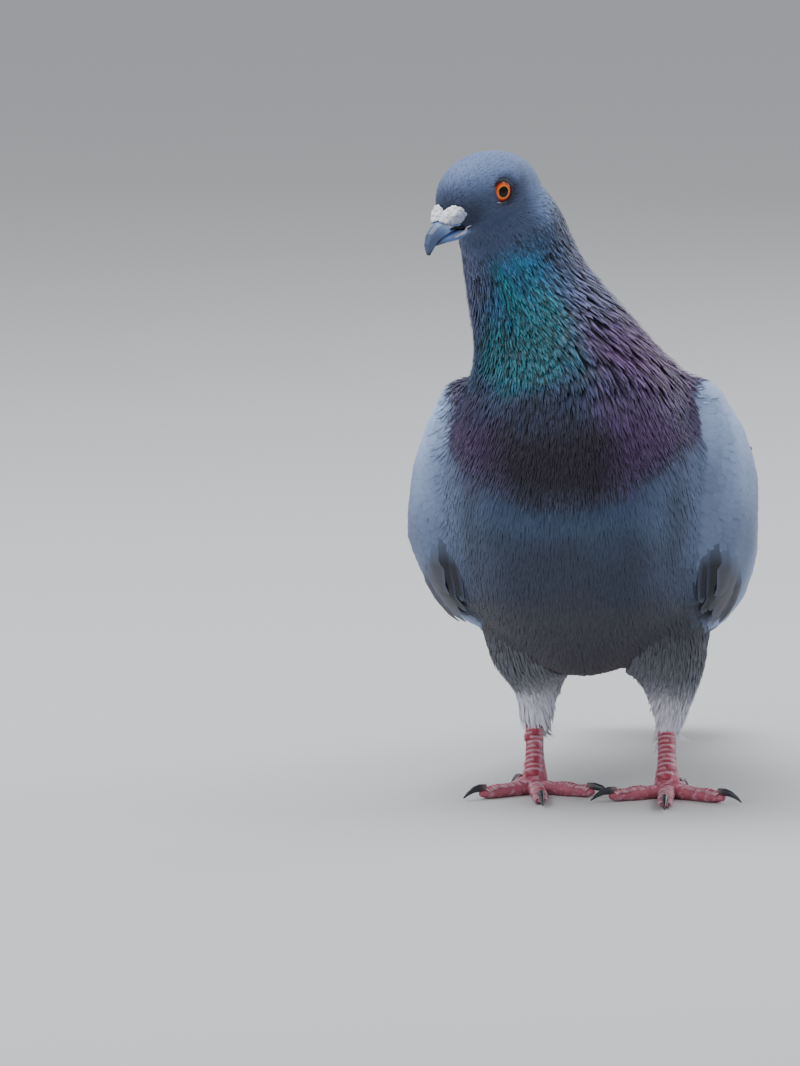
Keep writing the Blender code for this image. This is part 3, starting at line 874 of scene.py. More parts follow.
class Skin:
    """One closed skin over the flesh, inside it by the plumage's depth."""

    VOXEL = 1.15
    ROUNDS = 7
    EASE_ROUNDS = 26
    EASE = 0.55
    HEAD_DEPTH = 0.35
    DEEPEST_ON_HEAD = 0.8
    BODY_DEPTH = 1.35
    THIGH_DEPTH = 1.0
    # Each swelling's place in the body's axes, its reach and its height: crown and nape, shoulders,
    # belly, the right wing's outer side, and the right ankle's front and rear.
    FILLS = (
        ((33.0, -32.0, 206.0), 12.0, 1.5),
        ((8.0, -13.0, 195.0), 12.0, 2.3),
        ((0.0, -8.0, 180.0), 12.0, 1.0),
        ((14.0, 31.0, 135.0), 11.0, 4.6),
        ((14.0, -42.0, 131.0), 10.0, 3.4),
        ((10.0, -6.0, 46.0), 18.0, 5.5),
        ((8.0, -57.6, 87.0), 19.0, 3.0),
        ((-11.1, -23.1, 26.5), 6.5, 4.2),
        ((-21.0, -16.5, 27.0), 8.0, -2.8),
    )

    def __init__(self, nodes: NodeMap, marks: Markings) -> None:
        """Grows the skin from copies of the flesh and labels its faces."""
        self.marks = marks
        self.obj = refined("skin", [part.value for part in FLESH], nodes, self.VOXEL, self.ROUNDS)
        points, self.faces = arrays_of(self.obj)
        self.labels = self.label(points, nodes)
        points = self.soften(points)
        set_points(self.obj, points)
        points = points + vertex_normals(self.obj) * (self.fill(points) - self.depth(points))[:, None]
        set_points(self.obj, points)
        self.points = points
        self.carrier = Carrier(self.obj)

    def label(self, points: Points, nodes: NodeMap) -> np.ndarray:
        """The nearest flesh part of each point."""
        gaps = []
        for part in FLESH:
            corners, faces = arrays_of(nodes[part.value])
            tree = BVHTree.FromPolygons(corners.tolist(), faces)
            gaps.append([tree.find_nearest(point)[3] for point in points.tolist()])
        return np.argmin(np.array(gaps), axis=0)

    def soften(self, points: Points) -> Points:
        """The points with the creases between trunk, wings, neck and thighs eased."""
        ends = np.array([tuple(edge.vertices) for edge in self.obj.data.edges])
        degree = np.bincount(ends.ravel(), minlength=len(points))[:, None]
        ease = np.where(self.labels == HEAD, 0.0, self.EASE)[:, None]
        for _ in range(self.EASE_ROUNDS):
            total = np.zeros_like(points)
            np.add.at(total, ends[:, 0], points[ends[:, 1]])
            np.add.at(total, ends[:, 1], points[ends[:, 0]])
            points = points + ease * (total / degree - points)
        return points

    def fill(self, points: Points) -> np.ndarray:
        """How far the skin swells, or sinks, beyond the flesh at each point, in millimetres."""
        swell = np.zeros(len(points))
        body = self.marks.body.inside(points)
        for place, radius, rise in self.FILLS:
            gap = np.linalg.norm(body - place, axis=1)
            swell += rise * np.exp(-((gap / radius) ** 2))
        return swell

    def depth(self, points: Points) -> np.ndarray:
        """How deep the skin lies at each point, in millimetres."""
        forward, _, height = self.marks.head.inside(points).T
        body = smooth(height + 0.3 * forward, -8, -26)
        depth = self.HEAD_DEPTH + (self.BODY_DEPTH - self.HEAD_DEPTH) * body
        depth = np.where(self.labels == HEAD, np.minimum(depth, self.DEEPEST_ON_HEAD), depth)
        return np.where(on_thighs(self.labels), self.THIGH_DEPTH, depth)

    def dress(self) -> None:
        """Paints the skin, darkened as painted shade between the feathers, and gives it its finish."""
        colours = self.marks.at(self.points, self.labels)
        above = self.marks.spots(self.points, self.labels).above_bib()
        # Painted shade: the skin shows only between feathers, so it is a little darker than the marking
        # everywhere and far darker under the neck's hackles.
        neck = smooth(above, -4, 6) * (self.labels != HEAD) * (self.labels < WING_LEFT)
        paint(self.obj, colours * (0.8 - 0.6 * neck)[:, None])
        finish = MottledFinish("down", roughness=0.9, depth=0.35, relief=0.5, relief_mm=0.3)
        dress(self.obj, finish.build(), "breast_plumage", *[part.value for part in FLESH])


# ---------------------------------------------------------------- feathers


@dataclass(frozen=True)
class VaneForm:
    """The outline and section of one kind of feather, from its root to its tip."""

    shares: tuple[float, ...]
    widths: tuple[float, ...]
    lifts: tuple[float, ...]
    columns: int = 3
    beneath: int = 0
    camber: float = 0.25
    thick: float = 0.12
    free: float = 0.1

    @property
    def section(self) -> list[tuple[float, float, float]]:
        """The section's corners: reach across, drop of the camber, and share of the thickness below."""
        over = [-1 + 2 * c / (self.columns - 1) for c in range(self.columns)]
        under = [1 - 2 * (c + 1) / (self.beneath + 1) for c in range(self.beneath)]
        corners = [(reach, reach * reach, 0.0) for reach in over]
        return corners + [(reach, reach * reach, 1.0) for reach in under]

    @property
    def size(self) -> int:
        """The number of points in one vane: its rings and its two ends."""
        return len(self.shares) * len(self.section) + 2

    def tube(self) -> np.ndarray:
        """Faces of one vane, closed to a point at each end; a triangle repeats its last corner."""
        rings, corners = len(self.shares), len(self.section)
        faces = []
        for c in range(corners):
            after = (c + 1) % corners
            faces.append((0, c + 1, after + 1, after + 1))
            for r in range(rings - 1):
                here, further = r * corners + 1, (r + 1) * corners + 1
                faces.append((here + c, further + c, further + after, here + after))
            end = (rings - 1) * corners + 1
            faces.append((rings * corners + 1, end + after, end + c, end + c))
        return np.array(faces)

    def faces(self, count: int) -> np.ndarray:
        """Faces of this many vanes, one after another."""
        offsets = np.arange(count)[:, None, None] * self.size
        return (self.tube()[None] + offsets).reshape(-1, 4)


# How deep a small feather's root goes into the skin, in millimetres.
ROOT_DEPTH = 0.25

ROUND = VaneForm((0.22, 0.5, 0.78, 0.93), (0.6, 0.95, 1.0, 0.62), (0.1, 0.5, 0.85, 1.0), camber=0.1)
POINTED = VaneForm((0.2, 0.5, 0.8), (0.75, 1.0, 0.7), (0.1, 0.55, 0.95), camber=0.14)
HACKLE = VaneForm((0.18, 0.55, 0.85), (0.75, 1.0, 0.55), (0.1, 0.6, 1.0), camber=0.24)
FRINGE = VaneForm((0.2, 0.5, 0.8), (0.8, 1.0, 0.6), (0.1, 0.55, 0.95), camber=0.2, free=1.0)


@dataclass
class Vanes:
    """A batch of feathers, each a root, a first direction and its own sizes, in millimetres."""

    roots: Points
    aims: np.ndarray
    lengths: np.ndarray
    widths: np.ndarray
    lifts: np.ndarray
    tones: np.ndarray


def grow(
    vanes: Vanes, form: VaneForm, carrier: Carrier, flow: Callable[[Points], np.ndarray] | None = None
) -> tuple[Points, np.ndarray, np.ndarray]:
    """Lays closed thin vanes along a carrier.

    Args:
        vanes: The batch.
        form: Its outline and section.
        carrier: The surface beneath.
        flow: The lie of the coat at given places, or nothing to go straight on.

    Returns:
        The points in order of vane, ring and corner, the faces, and each point's lie.
    """
    section = form.section
    corners = len(section)
    place, normal = carrier.nearest(vanes.roots)
    flatten = 1 - 0.5 * (form.free >= 1)
    aim = unit(vanes.aims - flatten * (vanes.aims * normal).sum(1, keepdims=True) * normal)
    points = np.empty((len(vanes.roots), form.size, 3))
    lie = np.zeros_like(points)
    points[:, 0] = place - normal * ROOT_DEPTH
    lie[:, :, 2] = vanes.tones[:, None]
    last = 0.0
    for ring, share in enumerate(form.shares):
        step = (share - last) * vanes.lengths
        ahead = place + aim * step[:, None]
        if form.free < 1:
            place, normal = carrier.nearest(ahead)
        place = place + (ahead - place) * form.free
        if flow is not None and ring == 1 and form.free < 1:
            aim = unit(0.5 * aim + 0.5 * flow(place))
        aim = unit(aim - (aim * normal).sum(1, keepdims=True) * normal)
        across = np.cross(normal, aim)
        half = vanes.widths * form.widths[ring] / 2
        rise = vanes.lifts * form.lifts[ring]
        for corner, (reach, drop, under) in enumerate(section):
            at = ring * corners + corner + 1
            up = rise - form.camber * drop * half - under * form.thick
            points[:, at] = place + across * (reach * half)[:, None] + normal * up[:, None]
            lie[:, at, 0], lie[:, at, 1] = reach, share
        last = share
    tip = place + aim * ((1 - last) * vanes.lengths)[:, None]
    points[:, -1] = tip + normal * (vanes.lifts * form.lifts[-1] - form.thick / 2)[:, None]
    lie[:, -1, 1] = 1.0
    return points.reshape(-1, 3), form.faces(len(points)), lie.reshape(-1, 3)


def feather_mesh(
    name: str, points: Points, faces: np.ndarray, lie: np.ndarray, colours: np.ndarray, places: np.ndarray
) -> Obj:
    """An object of vanes with its attributes and bake map.

    Args:
        name: The object's name.
        points: Its points, in millimetres.
        faces: Its faces, a triangle's last corner given twice.
        lie: Each point's place on its vane.
        colours: Each point's marking.
        places: The unwrapped place of each point's root.

    Returns:
        The object.
    """
    rows = [face[:3] if face[2] == face[3] else face for face in faces.tolist()]
    mesh = bpy.data.meshes.new(name)
    mesh.from_pydata((points * MM).tolist(), [], rows)
    mesh.shade_smooth()
    mesh.set_sharp_from_angle(angle=math.radians(50))
    obj = added(name, mesh)
    paint(obj, colours)
    write_lie(obj, lie)
    write_bake_map(obj, places + (lie[:, :2] * (0.5, 1.0) - (0.0, 0.5)) * PATCH)
    return obj


def unwrap(body: Axes, points: Points, labels: np.ndarray) -> np.ndarray:
    """Places on a flat map of the skin: the trunk and neck unrolled, each wing on its own strip."""
    forward, side, height = body.inside(points).T
    run = np.where(height > 105, height - 0.2 * forward, 105)
    middle = np.interp(height, (60, 105, 150, 200), (-3.0, -5.0, -16.0, -27.0))
    turn = np.arctan2(side - middle, np.where(height > 118, forward - 8, 78 - height)) / math.tau
    along = np.where(height > 118, (run - 118) / 100 * 0.3 + 0.35, (60 - forward) / 160 * 0.33)
    wing = on_wings(labels)
    across = np.where(wing, (60 - forward) / 240, turn + 0.5)
    band = np.where(labels == WING_LEFT, 0.68, 0.84)
    up = np.where(wing, band + (height - 30) / 120 * 0.15, along)
    return np.clip(np.stack([across * 0.98 + 0.01, up], 1), 0.005, 0.995)


def aimed(forward: float, side: float | np.ndarray, up: float | np.ndarray) -> np.ndarray:
    """Directions of length 1, one for each number of the arrays."""
    return unit(np.stack(np.broadcast_arrays(forward, side, up), -1).astype(float))


@dataclass(frozen=True)
class Lie:
    """The lie of the coat: which way feathers point at a place."""

    marks: Markings

    def at(self, points: Points, labels: np.ndarray) -> np.ndarray:
        """Directions from root to tip at these points, before they are laid on the skin."""
        spots = self.marks.spots(points, labels)
        _, side, height = spots.body.T
        on_body = self.marks.body.aim(self.on_body(spots, side, height))
        ahead, _, up = spots.head.T
        face = aimed(-1.0, 0.0, -0.25 - 1.0 * smooth(up, -2, -14))
        on_head = smooth(up + 0.35 * ahead, -20, -8)[:, None] * (labels <= NECK)[:, None]
        return unit(on_body * (1 - on_head) + self.marks.head.aim(face) * on_head)

    def on_body(self, spots: Spots, side: np.ndarray, height: np.ndarray) -> np.ndarray:
        """Directions in the body's axes: down in front, back behind and below, along the wings."""
        aside = np.sign(side + 5) * smooth(np.abs(side + 5), 0, 30)
        down = np.stack(np.broadcast_arrays(-0.25, 0.22 * aside, -1.0), 1)
        front = smooth(spots.forward, -14, 26)[:, None]
        aims = unit(np.array([-1, 0, -0.3]) * (1 - front) + down * front)
        low = smooth(height, 66, 48)[:, None]
        aims = unit(aims * (1 - low) + np.array([-1, 0, -0.1]) * low)
        sweep = np.where(height > 120, 0.12 + 0.42 * smooth(height, 130, 150), 0.0)
        slope = np.stack(np.broadcast_arrays(0.06, sweep, -1.0), 1)
        neck = smooth(height, 112, 138)[:, None]
        aims = unit(aims * (1 - neck) + slope * neck)
        wing = spots.wing()[:, None]
        aims = unit(aims * (1 - wing) + aimed(-1.0, 0.0, -0.42) * wing)
        inward = -0.22 * np.sign(side + 5) * smooth(height, 60, 40)
        return np.where(on_thighs(spots.labels)[:, None], aimed(-0.3, inward, -1.0), aims)


@dataclass(frozen=True)
class Tract:
    """One feather tract: where it grows and the size of its feathers, in millimetres."""

    name: str
    slot: str
    form: VaneForm
    length: float
    width: float
    spacing: float
    lift: float
    where: Callable[[Spots], np.ndarray]
    seed: int
    tone: float
    stray: float
    finish: FeatherFinish
    grade: Callable[[Spots], np.ndarray] | None = None


class Coat:
    """Every tract of small feathers over the skin."""

    CLEARANCE = 4.2
    CLEARANCE_IN_FRONT = 1.7
    CANDIDATES = 5

    def __init__(self, skin: Skin, lie: Lie, marks: Markings, eyes: list[tuple[np.ndarray, ...]]) -> None:
        """Prepares the skin's faces for sampling."""
        self.skin, self.lie, self.marks, self.eyes = skin, lie, marks, eyes
        quads = np.array([face if len(face) == 4 else (*face, face[-1]) for face in skin.faces])
        self.corners = skin.points[quads]
        first, second, third, fourth = self.corners.transpose(1, 0, 2)
        self.areas = np.linalg.norm(np.cross(third - first, fourth - second), axis=1) / 2
        self.spots = marks.spots(self.corners.mean(1), skin.labels[quads[:, 0]])

    def roots(self, tract: Tract, dice: np.random.Generator) -> tuple[Points, np.ndarray]:
        """Evenly scattered roots of one tract.

        Args:
            tract: The tract.
            dice: Its seeded numbers.

        Returns:
            The roots and their flesh labels.
        """
        weight = self.areas * tract.where(self.spots)
        count = int(self.CANDIDATES * weight.sum() / tract.spacing**2)
        chosen = dice.choice(len(weight), count, p=weight / weight.sum())
        u, v = dice.random((2, count, 1))
        first, second, third, fourth = self.corners[chosen].transpose(1, 0, 2)
        points = (first * (1 - u) + second * u) * (1 - v) + (fourth * (1 - u) + third * u) * v
        keep = spread(points, tract.spacing)
        share = tract.where(self.spots.some(chosen[keep]))
        keep = keep[dice.random(len(keep)) < share]
        return points[keep], self.spots.labels[chosen][keep]

    def clear_of_eyes(self, points: Points) -> np.ndarray:
        """Which roots stand clear of both eyes and their rings."""
        clear = np.ones(len(points), bool)
        for centre, axis, ahead in self.eyes:
            offset = points - centre
            flat = offset - (offset @ axis)[:, None] * axis
            reach = np.linalg.norm(flat, axis=1)
            front = np.maximum(0, flat @ ahead) / reach
            clear &= (reach > self.CLEARANCE + self.CLEARANCE_IN_FRONT * front) | (offset @ axis < -2)
        return clear

    def make(self, tract: Tract) -> Obj:
        """Builds and dresses one tract.

        Args:
            tract: What grows where.

        Returns:
            The finished piece.
        """
        dice = np.random.default_rng(tract.seed)
        roots, labels = self.roots(tract, dice)
        clear = self.clear_of_eyes(roots)
        roots, labels = roots[clear], labels[clear]
        count = len(roots)
        aims = self.lie.at(roots, labels) + dice.normal(0, tract.stray, (count, 3))
        scale = np.ones(count)
        if tract.grade is not None:
            scale = tract.grade(self.marks.spots(roots, labels))
        lengths = tract.length * (1 + dice.normal(0, 0.1, count)) * scale
        vanes = Vanes(
            roots,
            unit(aims),
            lengths,
            tract.width * (1 + dice.normal(0, 0.1, count)) * np.sqrt(scale),
            tract.lift * (1 + dice.normal(0, 0.18, count)) * scale,
            1 + tract.tone * dice.uniform(-1, 1, count),
        )
        flow = partial(self.lie.at, labels=labels)
        points, faces, lie = grow(vanes, tract.form, self.skin.carrier, flow)
        each = tract.form.size
        looks = roots + unit(aims) * (0.7 * lengths)[:, None]
        colours = np.repeat(self.marks.at(looks, labels), each, 0)
        places = np.repeat(unwrap(self.marks.body, roots, labels), each, 0)
        obj = feather_mesh(tract.name, points, faces, lie, colours, places)
        return dress(obj, tract.finish.build(), tract.slot)


# The least gap between two feathers' roots, as a share of their usual spacing.
CLOSEST = 0.78


def spread(points: Points, spacing: float) -> np.ndarray:
    """Which points to keep so that they stand about this far apart, in millimetres."""
    gap = CLOSEST * spacing
    near: dict[tuple[int, ...], list[list[float]]] = {}
    kept = []
    steps = list(product((-1, 0, 1), repeat=3))
    cells = np.floor(points / gap).astype(int)
    for index, (cell, point) in enumerate(zip(map(tuple, cells.tolist()), points.tolist())):
        i, j, k = cell
        around = (there for a, b, c in steps for there in near.get((i + a, j + b, k + c), ()))
        if all(squared_gap(there, point) >= gap**2 for there in around):
            near.setdefault(cell, []).append(point)
            kept.append(index)
    return np.array(kept)


def squared_gap(one: list[float], other: list[float]) -> float:
    """The square of the distance between two places."""
    return (one[0] - other[0]) ** 2 + (one[1] - other[1]) ** 2 + (one[2] - other[2]) ** 2


FLIGHT = VaneForm(
    (0.06, 0.15, 0.28, 0.42, 0.55, 0.66, 0.74, 0.8, 0.86, 0.91, 0.95, 0.98, 0.995),
    (0.5, 0.75, 0.9, 1.0, 1.0, 1.0, 0.99, 0.97, 0.93, 0.85, 0.7, 0.5, 0.25),
    (0.2, 0.45, 0.6, 0.7, 0.8, 0.85, 0.9, 0.93, 0.96, 1.0, 1.0, 1.0, 1.0),
    columns=7,
    beneath=3,
    camber=0.1,
    thick=0.3,
)
COVERT = VaneForm(
    (0.1, 0.3, 0.5, 0.66, 0.8, 0.9, 0.97),
    (0.55, 0.85, 0.98, 1.0, 0.95, 0.75, 0.42),
    (0.1, 0.35, 0.6, 0.8, 0.95, 1.0, 1.0),
    columns=5,
    beneath=1,
    camber=0.16,
    thick=0.2,
)


@dataclass(frozen=True)
class Row:
    """A row of long feathers on one wing; each pair is its first, uppermost and its last feather's."""

    name: str
    slot: str
    count: int
    starts: tuple[float, float]
    ends: tuple[float, float, float]
    root_angles: tuple[float, float]
    tip_angles: tuple[float, float]
    width: float
    lifts: tuple[float, float]
    form: VaneForm
    tint: Tint
    bar: tuple[float, float] | None = None


WING_ROWS = (
    Row(
        name="primaries",
        slot="flight_feather",
        count=7,
        starts=(-74, -88),
        ends=(-140, -154, -167),
        root_angles=(38, -26),
        tip_angles=(52, 20),
        width=12.0,
        lifts=(1.0, -0.2),
        form=FLIGHT,
        tint=Tint.FLIGHT,
    ),
    Row(
        name="secondaries",
        slot="wing_plumage",
        count=12,
        starts=(-16, -60),
        ends=(-112, -130, -112),
        root_angles=(60, -50),
        tip_angles=(74, -18),
        width=15.0,
        lifts=(1.9, 0.7),
        form=FLIGHT,
        tint=Tint.WING,
        bar=(0.66, 0.86),
    ),
    Row(
        name="greater_coverts",
        slot="wing_plumage",
        count=14,
        starts=(-4, -44),
        ends=(-50, -72, -80),
        root_angles=(60, -54),
        tip_angles=(68, -44),
        width=11.5,
        lifts=(2.3, 1.2),
        form=COVERT,
        tint=Tint.WING,
        bar=(0.62, 2.0),
    ),
)


@dataclass(frozen=True)
class WingHull:
    """The folded wing's hull behind the shoulder: how its section changes from front to rear."""

    run: tuple[float, ...] = (-167, -150, -125, -98, -70, -40, -15, 8, 24)
    side: tuple[float, ...] = (1.5, 1, 1, 1, 2, 3, 4, 5, 5.5)
    height: tuple[float, ...] = (41, 45, 52.5, 60, 69, 79.5, 89, 97, 101)
    width: tuple[float, ...] = (7, 11.5, 17.5, 25, 34, 44, 50.5, 50.2, 46)
    depth: tuple[float, ...] = (7.5, 12.5, 18, 23, 29, 37, 43, 44, 41)
    sink_run: tuple[float, ...] = (-170, -80, -50, -20, 0, 10)
    sink: tuple[float, ...] = (1.5, 2.5, 3.2, 5.5, 7, 7)

    def at(self, sign: float, forward: np.ndarray, angle: np.ndarray) -> tuple[Points, np.ndarray]:
        """Places on the hull, and its normals there.

        Args:
            sign: 1 for the left wing and -1 for the right.
            forward: How far forward each place is, in millimetres.
            angle: Its angle above the level, in radians.

        Returns:
            The places and normals in the body's axes.
        """
        side, height, width, depth = (
            np.interp(forward, self.run, row) for row in (self.side, self.height, self.width, self.depth)
        )
        swell = np.where(angle > 0, 2 / 2.6, 2 / 3.0)
        out = np.sign(np.cos(angle)) * np.abs(np.cos(angle)) ** swell
        up = np.sign(angle) * np.abs(np.sin(angle)) ** swell
        sink = np.interp(forward, self.sink_run, self.sink) * smooth(angle, 0.45, 1.2)
        across = MIDLINE + sign * (side + width * out)
        places = np.stack([forward, across, height + depth * up - sink], -1)
        lean = np.broadcast_arrays(-0.004, sign * np.cos(angle) / width, np.sin(angle) / depth)
        return places, unit(np.stack(lean, -1))


class WingFeathers:
    """The long feathers of one folded wing: primaries, secondaries and greater coverts."""

    def __init__(self, side: str, body: Axes) -> None:
        """Keeps the wing's side and the body's axes."""
        self.side, self.sign, self.body = side, SIDES[side], body
        self.hull = WingHull()

    def row(self, row: Row, seed: int) -> tuple[Points, np.ndarray, np.ndarray, np.ndarray, np.ndarray]:
        """The mesh arrays of one row.

        Args:
            row: The row.
            seed: Seed of its small differences.

        Returns:
            Points, faces, lie, colours and unwrapped places.
        """
        dice = np.random.default_rng(seed)
        share = np.linspace(0, 1, row.count)
        start = np.interp(share, (0, 1), row.starts)
        end = np.interp(share, (0, 0.5, 1), row.ends) + dice.normal(0, 1.0, row.count)
        first = np.radians(np.interp(share, (0, 1), row.root_angles))
        final = np.radians(np.interp(share, (0, 1), row.tip_angles))
        lift = np.interp(share, (0, 1), row.lifts)
        section = row.form.section
        rings, corners = len(row.form.shares), len(section)
        points = np.empty((row.count, row.form.size, 3))
        lie = np.zeros_like(points)
        lie[:, :, 2] = (1 + 0.05 * dice.uniform(-1, 1, row.count))[:, None]
        for ring, part in enumerate((0.0, *row.form.shares, 1.0)):
            angle = first + (final - first) * part**0.8
            place, normal = self.hull.at(self.sign, start + (end - start) * part, angle)
            ahead, _ = self.hull.at(self.sign, start + (end - start) * (part + 0.01), angle)
            aim = unit(ahead - place)
            across = unit(np.cross(normal, aim))
            if ring in (0, rings + 1):
                end_point, sink = (0, 1.5) if ring == 0 else (-1, 0.1)
                points[:, end_point] = place + normal * (lift - sink)[:, None]
                lie[:, end_point, 1] = part
                continue
            half = row.width * row.form.widths[ring - 1] / 2
            beyond, _ = self.hull.at(self.sign, start + (end - start) * part, angle + 0.05)
            bend = 0.05 / ((beyond - place) * across).sum(-1)
            rise = lift * (0.4 + 0.6 * row.form.lifts[ring - 1])
            for corner, (reach, drop, under) in enumerate(section):
                at = (ring - 1) * corners + corner + 1
                up = rise - row.form.camber * drop * half - under * row.form.thick
                turned = angle + reach * half * bend
                edge, facing = self.hull.at(self.sign, start + (end - start) * part, turned)
                points[:, at] = edge + facing * up[:, None]
                lie[:, at, 0], lie[:, at, 1] = reach, part
        points, lie = points.reshape(-1, 3), lie.reshape(-1, 3)
        strip = np.full(row.count, 0.76 if self.sign > 0 else 0.92)
        places = np.repeat(np.stack([0.35 + 0.3 * share, strip], 1), row.form.size, 0)
        return self.body.outside(points), row.form.faces(row.count), lie, self.colours(row, lie), places

    def colours(self, row: Row, lie: np.ndarray) -> np.ndarray:
        """Each point's marking: the row's tint, darker at the edges, with its dark bar."""
        colours = np.tile(row.tint.colour(), (len(lie), 1))
        colours *= (1.0 - 0.12 * smooth(np.abs(lie[:, 0]), 0.5, 1.0))[:, None]
        if row.bar is None:
            return colours
        near, far = row.bar
        ragged = lie[:, 1] + 0.02 * np.sin(lie[:, 0] * 5)
        band = smooth(ragged, near - 0.02, near + 0.02) * (1 - smooth(ragged, far - 0.015, far + 0.015))
        return blend(colours, Tint.BAR, band)

    def build(self, finish: Material) -> None:
        """Makes every row as a piece of its own."""
        for seed, row in enumerate(WING_ROWS):
            obj = feather_mesh(f"{row.name}_{self.side}.vanes", *self.row(row, 40 + seed))
            replaced = ["primaries_" + self.side] if row.name == "primaries" else []
            dress(obj, finish, row.slot, *replaced)


@dataclass(frozen=True)
class Tail:
    """The folded tail: twelve long feathers in a shallow arch; its root is in the body's axes."""

    body: Axes
    feathers: int = 12
    length: float = 109.5
    drop: float = 17.0
    root: tuple[float, float, float] = (-74.0, -3.0, 64.5)
    half_root: float = 10.5
    half_end: float = 17.0
    width: float = 15.5

    def build(self, finish: Material) -> None:
        """Makes the tail feathers and dresses them."""
        slope = math.radians(self.drop)
        back = np.array([-math.cos(slope), 0, -math.sin(slope)])
        above = np.array([-math.sin(slope), 0, math.cos(slope)])
        root = np.array(self.root)
        rings, corners = len(FLIGHT.shares), len(FLIGHT.section)
        blocks, lies, places = [], [], []
        for index in range(self.feathers):
            aside = 2 * index / (self.feathers - 1) - 1
            stack = 1.6 * (1 - abs(aside))
            length = self.length - 9 * aside**2 + 6
            points = np.empty((FLIGHT.size, 3))
            lie = np.zeros_like(points)
            lie[:, 2] = 1 + 0.04 * math.sin(index * 2.1)
            for ring, share in enumerate((*FLIGHT.shares, 1.0)):
                run = -6 + length * share
                spread_out = self.half_root + (self.half_end - self.half_root) * share**0.8
                arch = 4.0 * (1 - 0.4 * share) * (1 - aside**2) + stack * (0.3 + 0.7 * share) - 1.0
                middle = root + back * run + above * arch + np.array([0, spread_out * aside, 0])
                if ring == rings:
                    points[-1], lie[-1, 1] = middle, 1.0
                    continue
                half = self.width * FLIGHT.widths[ring] * (0.55 + 0.45 * share) / 2
                for corner, (reach, fall, under) in enumerate(FLIGHT.section):
                    at = ring * corners + corner + 1
                    drop = 0.06 * half * fall + under * 0.35 + 0.05 * reach * half * aside
                    points[at] = middle + np.array([0, reach * half, 0]) - above * drop
                    lie[at, 0], lie[at, 1] = reach, share
            points[0] = root + back * -6 + np.array([0, self.half_root * aside, 0])
            blocks.append(self.body.outside(points))
            lies.append(lie)
            places.append(np.tile([0.08 + 0.07 * index, 0.03], (len(points), 1)))
        faces = FLIGHT.faces(self.feathers)[:, ::-1]
        swapped = faces[:, 0] == faces[:, 1]
        faces[swapped] = np.roll(faces[swapped], -1, 1)
        lie = np.concatenate(lies)
        colours = np.tile(Tint.TAIL.colour(), (len(lie), 1))
        band = smooth(lie[:, 1], 0.76, 0.81) * (1 - 0.75 * smooth(lie[:, 1], 0.96, 0.99))
        colours = blend(colours, Tint.BAR, band)
        points, places = np.concatenate(blocks), np.concatenate(places)
        obj = feather_mesh("tail.vanes", points, faces, lie, colours, places)
        dress(obj, finish, "tail_feather", "tail")


UNDER = VaneForm(
    (0.15, 0.4, 0.65, 0.85, 0.96),
    (0.7, 1.0, 1.0, 0.8, 0.4),
    (0.3, 0.7, 1.0, 1.1, 1.1),
    columns=5,
    beneath=1,
    camber=0.12,
    thick=0.2,
    free=0.35,
)


def wing_edge(side: str, skin: Skin, finish: Material) -> Obj:
    """The dusky feathers with pale rims that hang under the front of a folded wing.

    Args:
        side: left or right.
        skin: The skin that they lie on.
        finish: Their material.

    Returns:
        The finished piece.
    """
    dice = np.random.default_rng(60)
    count, sign = 9, SIDES[side]
    share = np.linspace(0, 1, count)
    inner = np.interp(sign, (-1, 1), (40.0, 41.5))
    across = MIDLINE + sign * (inner + 6.5 * share)
    roots = np.stack([31 - 16 * share, across, 86 - 9 * share + 3 * (np.arange(count) % 2)], 1)
    aims = np.stack(np.broadcast_arrays(-0.3 - 0.4 * share, -0.3 * sign * share, -1.0), 1)
    body = skin.marks.body
    vanes = Vanes(
        body.outside(roots),
        unit(body.aim(aims)),
        27 + dice.normal(0, 2.5, count),
        5.2 + dice.normal(0, 0.8, count),
        np.linspace(1.2, 2.4, count),
        1 + 0.35 * dice.uniform(-1, 1, count),
    )
    points, faces, lie = grow(vanes, UNDER, skin.carrier)
    colours = np.tile(Tint.SLOT.colour(), (len(points), 1))
    order = np.repeat(share, UNDER.size)
    colours = blend(colours, Tint.SLOT_MIDDLE, smooth(order, 0.2, 0.45) * smooth(order, 0.95, 0.7))
    rim = np.maximum(smooth(np.abs(lie[:, 0]), 0.7, 1.0), smooth(lie[:, 1], 0.86, 0.97))
    colours = blend(colours, Tint.WING_LOW, np.maximum(0.4 * rim, smooth(lie[:, 1], 0.45, 0.1)))
    labels = np.full(count, WING_LEFT if sign > 0 else WING_RIGHT)
    places = np.repeat(unwrap(body, vanes.roots, labels), UNDER.size, 0)
    obj = feather_mesh("wing_edge_" + side, points, faces, lie, colours, places)
    return dress(obj, finish, "wing_plumage")


# ---------------------------------------------------------------- head


def revolved(rings: np.ndarray) -> Faces:
    """Faces between closed rings of points, given as rows, columns and coordinates."""
    rows, columns = rings.shape[:2]
    faces = []
    for r in range(rows - 1):
        for c in range(columns):
            after = (c + 1) % columns
            here, there = r * columns, (r + 1) * columns
            faces.append((here + c, here + after, there + after, there + c))
    return faces


def round_turn(columns: int) -> np.ndarray:
    """Even angles once round, in radians."""
    return np.linspace(0, math.tau, columns, endpoint=False)


